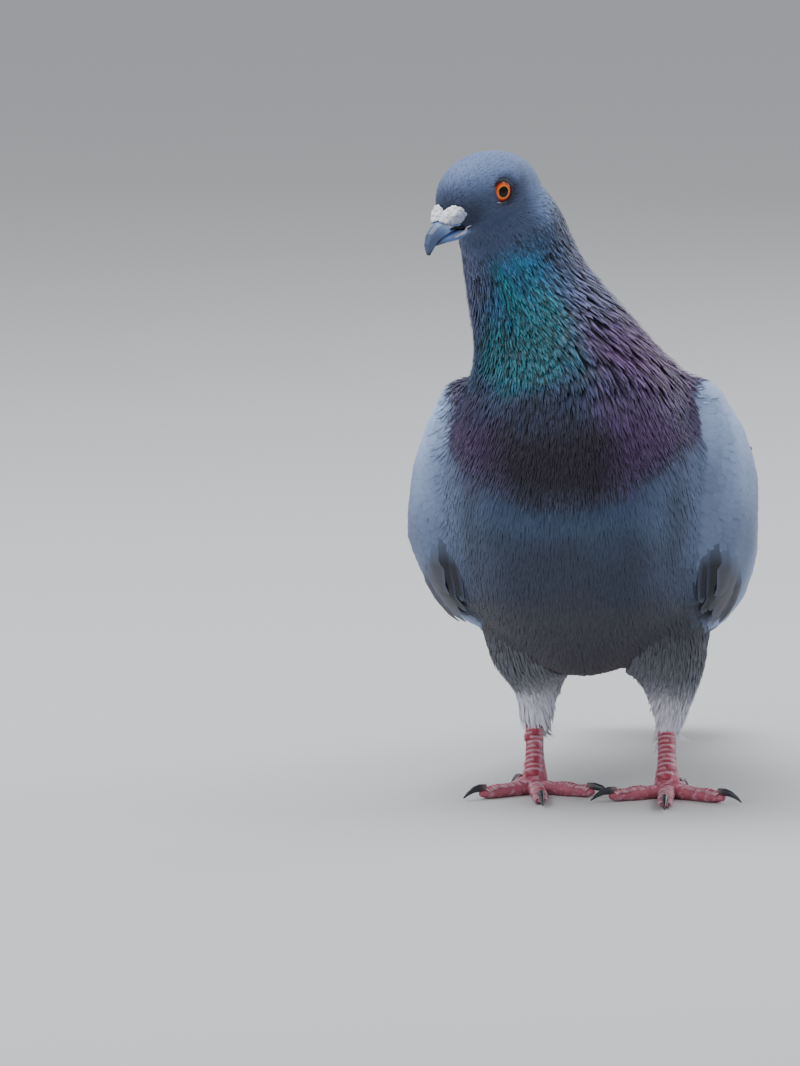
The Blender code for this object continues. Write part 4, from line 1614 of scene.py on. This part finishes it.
@dataclass
class Eye:
    """One eye: a bright ball with its iris, and the bare ring of lids round it."""

    FOLDS = ((0.12, 0.2), (0.28, 0.22), (0.42, 0.14), (0.56, 0.18), (0.72, 0.1), (0.88, 0.08))

    side: str
    head: Axes
    skin: Skin
    radius: float = 4.2
    depth: float = 3.4
    out: float = 9.2
    turn: float = 19.0
    opening: float = 3.3
    forward: float = 1.45
    rise: float = 0.75
    iris_ahead: float = 0.35

    def axes(self) -> tuple[np.ndarray, np.ndarray, np.ndarray, np.ndarray]:
        """The eye's middle, its outward axis, and the forward and up directions of its lids."""
        sign = SIDES[self.side]
        turn = math.radians(self.turn)
        axis = self.head.aim(np.array([math.sin(turn), sign * math.cos(turn), 0.0]))
        ahead = self.head.aim(np.array([math.cos(turn), -sign * math.sin(turn), 0.0]))
        up = self.head.aim(np.array([0.0, 0.0, 1.0]))
        shift = self.head.aim(np.array([self.forward, -0.15 * sign, self.rise]))
        return centre_mm("eye_" + self.side) + shift, axis, ahead, up

    def ball(self, finish: Material) -> None:
        """Makes the eyeball."""
        centre, axis, ahead, up = self.axes()
        rows, columns = 30, 48
        tilt = np.linspace(0.04, math.pi - 0.04, rows)[:, None, None]
        turn = round_turn(columns)[None, :, None]
        rings = centre + axis * (self.depth * np.cos(tilt)) + self.radius * np.sin(tilt) * (
            ahead * np.cos(turn) + up * np.sin(turn)
        )
        poles = [centre + axis * self.depth, centre - axis * self.depth]
        points = np.concatenate([rings.reshape(-1, 3), poles])
        faces = revolved(rings)
        for c in range(columns):
            after = (c + 1) % columns
            faces.append((rows * columns, after, c))
            faces.append((rows * columns + 1, (rows - 1) * columns + c, (rows - 1) * columns + after))
        obj = outward(make_mesh("eye_" + self.side + ".ball", points, faces))
        points, _ = arrays_of(obj)
        offset = points - centre
        front = offset @ axis
        flat = offset - front[:, None] * axis
        cap = np.clip(1 - np.linalg.norm(flat, axis=1) / self.opening, 0, 1)[:, None]
        reach = np.linalg.norm(flat - ahead * self.iris_ahead * cap, axis=1)
        iris = np.where(front > 0, reach / self.opening, 2.0)
        write_lie(obj, np.stack([iris, offset @ ahead, offset @ up], 1))
        dress(obj, finish, "eye", "eye_" + self.side)

    def lids(self, finish: Material) -> None:
        """Makes the eye ring, wider in front, with a darker upper lid."""
        centre, axis, ahead, up = self.axes()
        columns = 72
        turn = round_turn(columns)
        front = np.maximum(0, np.cos(turn)) ** 6
        low = np.maximum(0, -np.sin(turn))
        high = np.maximum(0, np.sin(turn))
        inner = self.opening * (1 + 0.05 * front - 0.05 * high - 0.02 * low)
        spoke = ahead[None] * np.cos(turn)[:, None] + up[None] * np.sin(turn)[:, None]
        seat = self.depth * np.sqrt(1 - (inner / self.radius) ** 2)
        outer = inner + 0.75 + 0.6 * front + 0.45 * high
        rim, rim_normal = self.skin.carrier.nearest(centre + spoke * outer[:, None] + axis * 2.0)
        lip = centre + spoke * inner[:, None] + axis * (seat + 0.02)[:, None]
        rings = [centre + spoke * (inner * 0.93)[:, None] + axis * (seat - 0.5)[:, None], lip]
        for share, rise in self.FOLDS:
            wrinkle = 0.05 * np.sin(turn * 23 + share * 30) * math.sin(math.pi * share)
            rings.append(lip * (1 - share) + rim * share + axis * (rise + wrinkle)[:, None])
        rings.append(rim - rim_normal * 0.5)
        rings.append(rim - rim_normal * 1.0 - spoke * 0.6)
        rings.append(centre + spoke * (inner * 0.9)[:, None] + axis * (seat - 1.2)[:, None])
        stack = np.array(rings)
        faces = revolved(np.concatenate([stack, stack[:1]]))
        total = len(stack) * columns
        faces = [tuple(corner % total for corner in face) for face in faces]
        obj = outward(make_mesh("eye_ring_" + self.side, stack.reshape(-1, 3), faces))
        rows = np.repeat(np.arange(len(stack)), columns)
        brow = smooth(np.maximum(np.sin(turn), -np.cos(turn)), 0.1, 0.7)
        upper = np.tile(brow, len(stack)) * smooth(rows.astype(float), 8, 3)
        edge = np.maximum(upper * 0.85, (rows <= 1).astype(float))
        corner = np.tile(np.maximum(0, np.cos(turn + 0.7)) ** 12, len(stack))
        corner *= smooth(rows.astype(float), 2, 4)
        colours = toward(np.tile(linear(62, 68, 86), (total, 1)), linear(22, 22, 26), edge)
        paint(obj, toward(colours, linear(220, 214, 218), corner))
        dress(obj, finish, "cere")


def outward(obj: Obj) -> Obj:
    """The object with its faces turned outwards."""
    work = bmesh.new()
    work.from_mesh(obj.data)
    bmesh.ops.recalc_face_normals(work, faces=work.faces)
    work.to_mesh(obj.data)
    work.free()
    return obj


@dataclass(frozen=True)
class EyeFinish(Finish):
    """The wet eye: a black pupil in a yellow, orange and dark red iris with a black rim."""

    bands: tuple[tuple[float, Colour], ...] = (
        (0.0, (0.002, 0.002, 0.002)),
        (0.52, (0.002, 0.002, 0.002)),
        (0.56, (0.7, 0.24, 0.02)),
        (0.66, (0.85, 0.17, 0.012)),
        (0.76, (0.6, 0.055, 0.006)),
        (0.87, (0.3, 0.015, 0.004)),
        (0.94, (0.06, 0.006, 0.003)),
        (0.99, (0.006, 0.004, 0.004)),
    )

    def build(self) -> Material:
        """The material."""
        made, make, shader = self.start()
        parts = make.add("SeparateXYZ", {0: make.marking("lie", "Vector")})
        place = make.add("TexCoord").outputs["Object"]
        flecks = make.maths("SUBTRACT", make.noise(place, 2600.0, 4.0), 0.5)
        reach = make.maths("MULTIPLY_ADD", flecks, 0.09, parts.outputs[0])
        ramp = make.add("ValToRGB", {0: reach})
        stops = ramp.color_ramp.elements
        while len(stops) < len(self.bands):
            stops.new(0.5)
        for stop, (position, colour) in zip(stops, self.bands):
            stop.position = position
            stop.color = (*colour, 1.0)
        tone = make.maths("MULTIPLY_ADD", flecks, 0.9, 1.0)
        self.finish(make, shader, make.shaded(ramp.outputs[0], tone), flecks)
        return made


@dataclass
class Bill:
    """The bill with its hooked tip, white cere lobes and nostrils; its lines are in the head's axes."""

    NOSTRIL = ((14.6, 3.9, -7.0), (17.0, 4.1, -6.4), (19.2, 3.8, -6.1), (21.4, 3.2, -6.2))
    GAPE = ((19.5, 3.2, -9.2), (17.0, 3.9, -9.0), (14.5, 4.6, -8.6), (12.6, 5.0, -7.6))

    head: Axes
    nodes: NodeMap

    def __post_init__(self) -> None:
        """Keeps the whole bill as the surface that its small parts lie on."""
        names = ["bill_upper", "bill_lower", "cere", "head"]
        whole = refined("bill_carrier", names, self.nodes, 0.5, 2, 0.1)
        self.carrier = Carrier(whole)
        bpy.data.objects.remove(whole)

    def horn(self, part: str, finish: Material) -> None:
        """Makes one half of the horn, dark at its tip and powdery near the cere, with painted shade along the
        upper half's lower edge.
        """
        obj = refined(part + ".horn", [part], self.nodes, 0.3, 3, 0.05)
        points, _ = arrays_of(obj)
        ahead, _, up = self.head.inside(points).T
        tip = smooth(ahead + 0.6 * wobble(points, 1.5, 0), 21, 27)
        colours = toward(np.tile(linear(108, 138, 190), (len(points), 1)), linear(66, 84, 116), tip)
        # Painted shade along the lower edge of the upper half.
        edge = smooth(up - (-0.22 * ahead - 3.0), -0.8, -2.4)[:, None]
        colours = colours * (1 - 0.65 * edge * (part == "bill_upper"))
        fall = up + 0.42 * (ahead - 16.6) + 0.5 * wobble(points, 0.7, 1)
        powder = 0.85 * smooth(fall, -4.6, -2.6) * smooth(ahead, 24.0, 21.0)
        paint(obj, toward(colours, linear(172, 180, 200), powder))
        dress(obj, finish, "bill", part)

    def cere(self, finish: Material) -> None:
        """Makes the bumpy white lobes, with painted shade low down, in the cleft between them and in the dips
        between the bumps.
        """
        obj = refined("cere.lobes", ["cere"], self.nodes, 0.28, 2, 0.05)
        points, _ = arrays_of(obj)
        bumps = 0.17 * wobble(points, 0.62, 0) + 0.13 * wobble(points, 0.3, 4)
        set_points(obj, points + vertex_normals(obj) * bumps[:, None])
        ahead, aside, up = self.head.inside(points).T
        # Painted shade: the colour is darker in the dips between the bumps and lighter on them.
        pale = np.tile(linear(250, 252, 255), (len(points), 1)) * (0.9 + 0.3 * bumps / 0.16)[:, None]
        low = up + 0.42 * (ahead - 16.6) + 0.6 * wobble(points, 0.8, 2)
        shade = np.maximum(0.8 * smooth(low, -0.2, -2.0), 0.5 * smooth(np.abs(aside), 0.9, 0.1))
        paint(obj, toward(pale, linear(120, 136, 166), shade))
        dress(obj, finish, "cere", "cere")

    def slit(self, side: str, finish: Material) -> None:
        """Makes the nostril under one cere lobe: a welt painted black as the shade inside the slit."""
        line = np.array(self.NOSTRIL) * (1, SIDES[side], 1)
        obj = self.seam("nostril_" + side, line, (0.15, 0.5, 0.6, 0.3))
        # Painted shade: the black of the slit's dark inside.
        paint(obj, np.tile(linear(16, 16, 20), (len(obj.data.vertices), 1)))
        dress(obj, finish, "cere")

    def flange(self, side: str, finish: Material) -> None:
        """Makes the pale fleshy corner of the gape."""
        line = np.array(self.GAPE) * (1, SIDES[side], 1)
        obj = self.seam("gape_" + side, line, (0.2, 0.5, 0.62, 0.25))
        tone = 1 + 0.15 * wobble(arrays_of(obj)[0], 0.6, 0)
        paint(obj, linear(186, 184, 196) * tone[:, None])
        dress(obj, finish, "cere")

    def seam(self, name: str, line: Points, radii: tuple[float, ...]) -> Obj:
        """A small round-ended welt laid on the bill along a line.

        Args:
            name: The new object's name.
            line: Its places in the head's axes, in millimetres.
            radii: Its radius at each place.

        Returns:
            The new object.
        """
        columns, count = 10, 13
        share = np.linspace(0, 1, count)
        knots = np.linspace(0, 1, len(line))
        middle = np.stack([np.interp(share, knots, line[:, k]) for k in range(3)], 1)
        middle, normal = self.carrier.nearest(self.head.outside(middle))
        radius = np.interp(share, knots, radii)
        ahead = unit(np.gradient(middle, axis=0))
        across = unit(np.cross(normal, ahead))
        turn = round_turn(columns)[None, :, None]
        rings = middle[:, None] + radius[:, None, None] * (
            across[:, None] * np.cos(turn) + 0.45 * normal[:, None] * np.sin(turn)
        )
        faces = revolved(rings)
        faces += [tuple(range(columns)), tuple(range((count - 1) * columns, count * columns))]
        return outward(make_mesh(name, rings.reshape(-1, 3), faces))


# ---------------------------------------------------------------- feet


TOES = ("middle", "inner", "outer", "hind")
Path = list[tuple[Points, np.ndarray]]


@dataclass
class Foot:
    """One bare foot: scaled skin over the shank and toes, scutes along their tops, and claws."""

    UPPERMOST_SCUTE = 19.5
    SCUTE_SIZE = 1.0

    side: str
    nodes: NodeMap
    gap: float = 1.35

    def skin(self, finish: Material) -> Carrier:
        """Makes the foot's skin.

        Args:
            finish: Its material.

        Returns:
            The skin as a carrier for the scutes.
        """
        names = ["shank_" + self.side] + [f"toe_{toe}_{self.side}" for toe in TOES]
        obj = refined(f"foot_{self.side}.skin", names, self.nodes, 0.42, 3, 0.1)
        points, _ = arrays_of(obj)
        points[:, 2] = np.maximum(points[:, 2], 0.0)
        set_points(obj, points)
        pale = 0.55 * smooth(wobble(points, 1.1, 0) + 0.5 * wobble(points, 0.5, 3), 0.25, 0.6)
        colours = toward(np.tile(linear(182, 96, 114), (len(points), 1)), linear(206, 172, 188), pale)
        # Darker towards the floor.
        near_floor = smooth(points[:, 2], 1.4, 0.2)[:, None]
        paint(obj, colours * (1 - 0.45 * near_floor))
        dress(obj, finish, "leg_skin", *names)
        return Carrier(obj)

    def paths(self, carrier: Carrier) -> tuple[list[Path], list[float]]:
        """Places and upward directions along each toe and the shank's front, with each line's girth."""
        low, high = (np.array(corner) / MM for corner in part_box("shank_" + self.side))
        ankle = (low + high) / 2
        hub = np.array([ankle[0], low[1] + 4.5, 4.0])
        paths, girths = [], []
        for toe in TOES:
            tip = centre_mm(f"claw_{toe}_{self.side}")
            aim = unit(np.array([tip[0] - hub[0], tip[1] - hub[1], 0.0]))
            reach = math.dist(tip[:2], hub[:2]) - 3.4
            starts = hub + aim * np.arange(3.0, reach, self.gap)[:, None] + (0, 0, 6)
            paths.append(self.cast(carrier, starts, np.array([0.0, 0.0, -1.0])))
            girths.append(1.18)
        heights = np.arange(7.0, min(high[2] - 3.5, self.UPPERMOST_SCUTE), self.gap)
        front = np.array([[ankle[0] - 1.0, low[1] - 10, height] for height in heights])
        paths.append(self.cast(carrier, front, np.array([0.0, 1.0, 0.0])))
        return paths, [*girths, 1.6]

    def cast(self, carrier: Carrier, starts: Points, aim: np.ndarray) -> Path:
        """Where rays from these starts meet the foot, with the normal there."""
        hits = []
        for start in starts:
            place, normal, _, _ = carrier.tree.ray_cast(Vector(start), Vector(aim), 30.0)
            if place is not None and normal.dot(Vector(aim)) < -0.6:
                hits.append((np.array(place), np.array(normal)))
        return hits

    def scutes(self, carrier: Carrier, finish: Material) -> None:
        """Lays overlapping scutes along the toes and the shank with a Geometry Nodes tree."""
        points, edges, normals, sizes = [], [], [], []
        for path, girth in zip(*self.paths(carrier)):
            for index, (place, normal) in enumerate(path):
                if index:
                    edges.append((len(points) - 1, len(points)))
                points.append(place)
                normals.append(normal)
                sizes.append(girth)
        mesh = bpy.data.meshes.new("scute_places")
        mesh.from_pydata((np.array(points) * MM).tolist(), edges, [])
        aims = np.zeros((len(points), 3))
        for first, second in edges:
            aims[first] = aims[second] = points[second] - points[first]
        write_numbers(mesh, "up", unit(np.array(normals)))
        write_numbers(mesh, "ahead", unit(aims))
        write_numbers(mesh, "girth", np.array(sizes))
        places = added("scute_places", mesh)
        plate, tree = scute_plate(), shared(scute_tree)
        modifier = places.modifiers.new("Scutes", "NODES")
        modifier.node_group = tree
        sockets = {item.name: item.identifier for item in tree.interface.items_tree if item.in_out == "INPUT"}
        modifier[sockets["Plate"]] = plate
        modifier[sockets["Size"]] = self.SCUTE_SIZE
        modifier[sockets["Finish"]] = finish
        made = evaluated(places, f"foot_{self.side}.scutes")
        bpy.data.objects.remove(plate)
        spots, _ = arrays_of(made)
        spots[:, 2] = np.maximum(spots[:, 2], 0.05)
        set_points(made, spots)
        rim = np.zeros(len(spots), np.float32)
        made.data.attributes["rim"].data.foreach_get("value", rim)
        pale = np.clip(rim + 0.35 * wobble(spots, 0.8, 1), 0, 1)
        paint(made, toward(linear(158, 50, 70), linear(226, 184, 198), pale))
        dress(made, finish, "leg_skin")

    def claws(self, finish: Material) -> None:
        """Makes the four claws."""
        hub = centre_mm("shank_" + self.side)
        for toe in TOES:
            name = f"claw_{toe}_{self.side}"
            obj = refined(name + ".horn", [name], self.nodes, 0.26, 3, 0.05)
            points, _ = arrays_of(obj)
            points[:, 2] = np.maximum(points[:, 2], 0.05)
            set_points(obj, points)
            reach = np.hypot(points[:, 0] - hub[0], points[:, 1] - hub[1])
            share = smooth(reach, reach.min() + 0.5, reach.min() + 3.5)
            paint(obj, toward(linear(120, 96, 98), linear(38, 40, 48), share))
            dress(obj, finish, "claw", name)


def scute_plate() -> Obj:
    """One scute: a low saddle, 3.4 mm across and 1.6 mm along, that tips up at its free end."""
    rows, columns = 4, 9
    points, faces, rims = [], [], []
    for under in (0.0, 1.0):
        for r in range(rows):
            along = -0.8 + 1.7 * r / (rows - 1)
            for c in range(columns):
                turn = math.radians(-78 + 156 * c / (columns - 1))
                edge = abs(c / (columns - 1) * 2 - 1)
                radius = 1.95 - under * 0.3 + 0.1 * r / (rows - 1)
                reach = along * (1 - 0.25 * edge**2)
                points.append((reach, radius * math.sin(turn), radius * math.cos(turn) - 1.78))
                rims.append(0.9 * (r == rows - 1) + 0.5 * (edge > 0.7) * (r < rows - 1))
    size = rows * columns
    for r in range(rows - 1):
        for c in range(columns - 1):
            a, b = r * columns + c, (r + 1) * columns + c
            faces.append((a, b, b + 1, a + 1))
            faces.append((size + a, size + a + 1, size + b + 1, size + b))
    rim = list(range(columns)) + [r * columns + columns - 1 for r in range(1, rows)]
    rim += [(rows - 1) * columns + c for c in range(columns - 2, -1, -1)]
    rim += [r * columns for r in range(rows - 2, 0, -1)]
    for first, second in zip(rim, rim[1:] + rim[:1]):
        faces.append((first, second, size + second, size + first))
    plate = make_mesh("scute_plate", np.array(points), faces)
    write_numbers(plate.data, "rim", np.array(rims))
    return outward(plate)


def scute_tree() -> Tree:
    """Geometry Nodes that stand one plate on each point, turned along the path and out of the skin."""
    inputs = {"Geometry": "Geometry", "Plate": "Object", "Size": "Float", "Finish": "Material"}
    tree, start, end = group("Scutes", "Geometry", inputs, {"Geometry": "Geometry"})
    nodes, link = tree.nodes, tree.links.new
    dots = nodes.new("GeometryNodeMeshToPoints")
    plate = nodes.new("GeometryNodeObjectInfo")
    stand = nodes.new("GeometryNodeInstanceOnPoints")
    realize = nodes.new("GeometryNodeRealizeInstances")
    colour = nodes.new("GeometryNodeSetMaterial")
    scale = nodes.new("ShaderNodeMath")
    scale.operation = "MULTIPLY"
    turns = []
    for label, axis, pivot in (("up", "Z", "AUTO"), ("ahead", "X", "Z")):
        turn = nodes.new("FunctionNodeAlignRotationToVector")
        turn.axis, turn.pivot_axis = axis, pivot
        link(named_attribute(nodes, label, "FLOAT_VECTOR"), turn.inputs["Vector"])
        turns.append(turn)
    link(turns[0].outputs["Rotation"], turns[1].inputs["Rotation"])
    link(start.outputs["Geometry"], dots.inputs["Mesh"])
    link(start.outputs["Plate"], plate.inputs["Object"])
    link(dots.outputs["Points"], stand.inputs["Points"])
    link(plate.outputs["Geometry"], stand.inputs["Instance"])
    link(turns[1].outputs["Rotation"], stand.inputs["Rotation"])
    link(named_attribute(nodes, "girth", "FLOAT"), scale.inputs[0])
    link(start.outputs["Size"], scale.inputs[1])
    link(scale.outputs["Value"], stand.inputs["Scale"])
    link(stand.outputs["Instances"], realize.inputs["Geometry"])
    link(realize.outputs["Geometry"], colour.inputs["Geometry"])
    link(start.outputs["Finish"], colour.inputs["Material"])
    link(colour.outputs["Geometry"], end.inputs["Geometry"])
    return tree


def named_attribute(nodes: bpy.types.Nodes, name: str, kind: str) -> Socket:
    """The output of a node that reads a named attribute."""
    read = nodes.new("GeometryNodeInputNamedAttribute")
    read.data_type = kind
    read.inputs["Name"].default_value = name
    return read.outputs["Attribute"]


# ---------------------------------------------------------------- studio


@dataclass(frozen=True)
class Lamp:
    """A square soft light: where it stands and its side, in metres, its power in watts and its tone."""

    name: str
    place: Colour
    size: float
    power: float
    tone: Colour


LAMPS = (
    Lamp("overhead", (-0.45, 0.15, 1.5), 1.3, 24, (0.94, 0.97, 1.0)),
    Lamp("front", (-1.1, -1.7, 1.1), 1.4, 10, (1.0, 0.99, 0.98)),
    Lamp("side", (0.95, -0.05, 1.15), 0.5, 3.5, (1.0, 0.97, 0.97)),
    Lamp("rim", (1.2, 1.4, 1.0), 1.2, 14, (0.95, 0.97, 1.0)),
)


@dataclass(frozen=True)
class Studio:
    """A pale floor, soft lights and the camera; the camera's offset is in millimetres."""

    floor_reach: float = 30.0
    floor_tone: Colour = (0.62, 0.62, 0.61)
    lit_place: Colour = (0, -0.03, 0.12)
    surround: Colour = (0.9, 0.93, 1.0)
    surround_strength: float = 0.6
    aim_offset: Colour = (-59.5, -58.9, -18.9)
    distance: float = 3.0
    elevation: float = 6.0
    lens: float = 319.0

    def floor(self) -> None:
        """Makes the plain floor."""
        mesh = bpy.data.meshes.new("floor")
        r = self.floor_reach
        mesh.from_pydata([(-r, -r, 0), (r, -r, 0), (r, r, 0), (-r, r, 0)], [], [(0, 1, 2, 3)])
        obj = added("floor", mesh)
        made = bpy.data.materials.new("floor")
        made.use_nodes = True
        shader = made.node_tree.nodes["Principled BSDF"]
        shader.inputs["Base Color"].default_value = (*self.floor_tone, 1)
        shader.inputs["Roughness"].default_value = 0.85
        mesh.materials.append(made)
        obj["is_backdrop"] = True

    def lights(self) -> None:
        """Adds the soft lights, aimed at the bird, and an even surround."""
        for lamp in LAMPS:
            data = bpy.data.lights.new(lamp.name, "AREA")
            data.energy, data.size, data.color = lamp.power, lamp.size, lamp.tone
            aim = Vector(self.lit_place) - Vector(lamp.place)
            obj = added(lamp.name, data)
            obj.location = lamp.place
            obj.rotation_euler = aim.to_track_quat("-Z", "Y").to_euler()
        world = bpy.data.worlds.new("surround")
        bpy.context.scene.world = world
        world.use_nodes = True
        backdrop = world.node_tree.nodes["Background"]
        backdrop.inputs["Color"].default_value = (*self.surround, 1)
        backdrop.inputs["Strength"].default_value = self.surround_strength

    def camera(self) -> None:
        """Adds the camera at the viewing angle."""
        low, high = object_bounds()
        aim = (low + high) / 2 + Vector(self.aim_offset) * MM
        rise = math.radians(self.elevation)
        back = Vector((0, -math.cos(rise), math.sin(rise)))
        data = bpy.data.cameras.new("camera")
        data.lens, data.sensor_width = self.lens, 36.0
        data.clip_start, data.clip_end = 0.05, 100
        obj = added("camera", data)
        obj.location = aim + back * self.distance
        obj.rotation_euler = (-back).to_track_quat("-Z", "Y").to_euler()
        bpy.context.scene.camera = obj


# ---------------------------------------------------------------- tracts

# The lowest place of the upper neck's feathers and the highest of the lower neck's, which overlap.
THROAT_FOOT = 139
COLLAR_TOP = 141
LAST_COVERT = -52


def on_crown(spots: Spots) -> np.ndarray:
    """The head, to just past the nape."""
    on_nape = (spots.labels == NECK) & (spots.from_eyes() < 25)
    return ((spots.labels == HEAD) | on_nape) & (spots.head[:, 0] < 17.5)


def on_neck(spots: Spots) -> np.ndarray:
    """The neck down to the collar, and the top of the trunk, thinner on the bird's left."""
    inside = smooth(spots.above_bib(), -5, 3)
    away = smooth(spots.from_eyes(), 16, 21)
    gaps = 1 - 0.58 * smooth(spots.side, -14, -2) * smooth(spots.height, 126, 138)
    return ((spots.labels == NECK) * away + spots.trunk() * (spots.forward > -4)) * inside * gaps


def on_throat(spots: Spots) -> np.ndarray:
    """The upper half of the neck."""
    return on_neck(spots) * (spots.height > THROAT_FOOT)


def on_collar(spots: Spots) -> np.ndarray:
    """The lower half of the neck."""
    return on_neck(spots) * (spots.height <= COLLAR_TOP)


def on_breast(spots: Spots) -> np.ndarray:
    """The breast and the upper flanks."""
    outside = smooth(spots.above_bib(), 3, -5) * (spots.height > 66 - 0.1 * spots.forward)
    return (spots.trunk() + (spots.labels == NECK)) * outside * (spots.forward > -12)


def on_belly(spots: Spots) -> np.ndarray:
    """The belly, lower flanks and vent."""
    low = (spots.height <= 70 - 0.1 * spots.forward) & (spots.height < 76 + 0.2 * spots.forward)
    return (spots.labels == TRUNK) & low


def on_back(spots: Spots) -> np.ndarray:
    """The mantle, back and rump."""
    behind = (spots.forward < 14) & (spots.height > 70 + 0.15 * spots.forward)
    return (spots.labels == TRUNK) & behind


def on_wing(spots: Spots, wing: int) -> np.ndarray:
    """One wing's fore part."""
    return (spots.labels == wing) * (spots.forward > LAST_COVERT) * spots.wing()


def on_leg(spots: Spots) -> np.ndarray:
    """Both thighs."""
    return on_thighs(spots.labels)


def crown_grade(spots: Spots) -> np.ndarray:
    """Head feathers grow longer towards the neck."""
    return 0.9 + 1.0 * smooth(spots.from_eyes(), 14, 26)


def throat_grade(spots: Spots) -> np.ndarray:
    """Neck feathers start small under the head, and are longer on the bird's left."""
    small = 0.42 + 0.58 * smooth(spots.from_eyes(), 18, 40)
    return small * (1 + 0.35 * smooth(spots.side, -14, -2))


def collar_grade(spots: Spots) -> np.ndarray:
    """Collar feathers lie flatter and shorter towards the bib's edge."""
    return 0.55 + 0.45 * smooth(spots.above_bib(), 4, 26)


def cuff_grade(spots: Spots) -> np.ndarray:
    """The left cuff hangs lower than the right."""
    right = 0.7 * smooth(spots.forward, -22, -15) - 0.2
    return 1 + smooth(spots.height, 38, 25) * np.where(spots.labels == THIGH_LEFT, 0.7, right)


def tracts() -> list[Tract]:
    """Every feather tract, from the bill back."""
    face = FeatherFinish(
        "face_feather", 0.62, relief_mm=0.04, sheen=0.05, specular=0.25, barbs=25.0, edge=0.1, root=0.2
    )
    # Strong painted shade at the hackles' edges and roots, for the dark gaps between the strands.
    hackle = FeatherFinish("neck_feather", 0.42, specular=0.35, edge=0.5, root=0.85, streak=0.5)
    body = FeatherFinish(
        "body_feather", 0.66, sheen=0.04, specular=0.2, edge=0.16, root=0.26, streak=0.25
    )
    wing = FeatherFinish(
        "wing_feather", 0.62, sheen=0.05, specular=0.25, edge=0.1, root=0.18, streak=0.12
    )
    down = FeatherFinish("cuff_feather", 0.8, sheen=0.1, specular=0.2, edge=0.2, root=0.3, streak=0.3)
    coverts = [
        Tract(f"coverts_{side}", "wing_plumage", ROUND, 8.0, 3.6, 2.0, 0.45, where, seed, 0.03, 0.03, wing)
        for side, where, seed in (
            ("left", partial(on_wing, wing=WING_LEFT), 7),
            ("right", partial(on_wing, wing=WING_RIGHT), 8),
        )
    ]
    return [
        Tract(
            "crown", "head_plumage", POINTED, 2.6, 0.85, 0.62, 0.26,
            on_crown, 1, 0.1, 0.07, face, crown_grade,
        ),
        Tract(
            "throat_hackles", "neck_plumage", HACKLE, 6.5, 0.95, 0.78, 1.25,
            on_throat, 2, 0.72, 0.1, hackle, throat_grade,
        ),
        Tract(
            "collar_hackles", "neck_plumage", HACKLE, 7.5, 0.92, 0.8, 0.95,
            on_collar, 3, 0.45, 0.08, hackle, collar_grade,
        ),
        Tract("breast", "breast_plumage", POINTED, 7.5, 0.95, 0.78, 0.5, on_breast, 4, 0.07, 0.05, body),
        Tract("belly", "breast_plumage", POINTED, 8.5, 1.2, 0.98, 0.6, on_belly, 5, 0.08, 0.08, body),
        Tract("mantle", "breast_plumage", ROUND, 9.5, 4.6, 2.4, 0.7, on_back, 6, 0.05, 0.04, wing),
        *coverts,
        Tract(
            "thighs", "thigh_plumage", FRINGE, 6.5, 0.85, 0.85, 0.7,
            on_leg, 9, 0.12, 0.09, down, cuff_grade,
        ),
    ]


# ---------------------------------------------------------------- the whole bird


def main() -> None:
    """Builds the bird in order, and reports each piece."""
    logging.basicConfig(level=logging.INFO, format="%(message)s")
    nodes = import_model()["nodes"]
    cad_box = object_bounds()
    studio = Studio()
    studio.camera()
    studio.floor()
    studio.lights()
    body, head = body_axes(), head_axes()
    marks = Markings(body, head)
    skin = Skin(nodes, marks)
    eyes = [Eye(side, head, skin) for side in SIDES]
    bright = EyeFinish("eye", roughness=0.3, coat=0.5, relief=0.03, specular=0.0).build()
    bare = MottledFinish("eye_ring", roughness=0.6, specular=0.2, fine=3500.0, depth=0.4, relief=0.4).build()
    for eye in eyes:
        eye.ball(bright)
        eye.lids(bare)
    coat = Coat(skin, Lie(marks), marks, [eye.axes()[:3] for eye in eyes])
    for tract in tracts():
        coat.make(tract)
    flight = {"edge": 0.12, "root": 0.25, "barbs": 220.0, "streak": 0.12}
    long_feather = FeatherFinish("long_feather", roughness=0.55, specular=0.3, **flight).build()
    for side in SIDES:
        WingFeathers(side, body).build(long_feather)
        wing_edge(side, skin, long_feather)
    Tail(body).build(long_feather)
    mottle = {"coarse": 250.0, "fine": 2600.0, "depth": 0.5, "relief": 0.25}
    horn = MottledFinish("horn", roughness=0.42, coat=0.1, **mottle).build()
    white = MottledFinish("cere", roughness=0.8, fine=4200.0, depth=0.12, relief=0.6).build()
    bill = Bill(head, nodes)
    for part in ("bill_upper", "bill_lower"):
        bill.horn(part, horn)
    bill.cere(white)
    for side in SIDES:
        bill.slit(side, bare)
        bill.flange(side, bare)
    mottle = {"coarse": 500.0, "fine": 2200.0, "depth": 0.55, "relief": 0.5}
    scaly = MottledFinish("leg", roughness=0.55, subsurface=0.08, **mottle).build()
    claw = MottledFinish("claw", roughness=0.35, depth=0.4, relief=0.2, coat=0.2).build()
    for side in SIDES:
        foot = Foot(side, nodes)
        foot.scutes(foot.skin(scaly), scaly)
        foot.claws(claw)
    skin.dress()
    boxes = {"cad": cad_box, "visual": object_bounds()}
    {name: [list(low), list(high)] for name, (low, high) in boxes.items()}


if __name__ == "__main__":
    main()
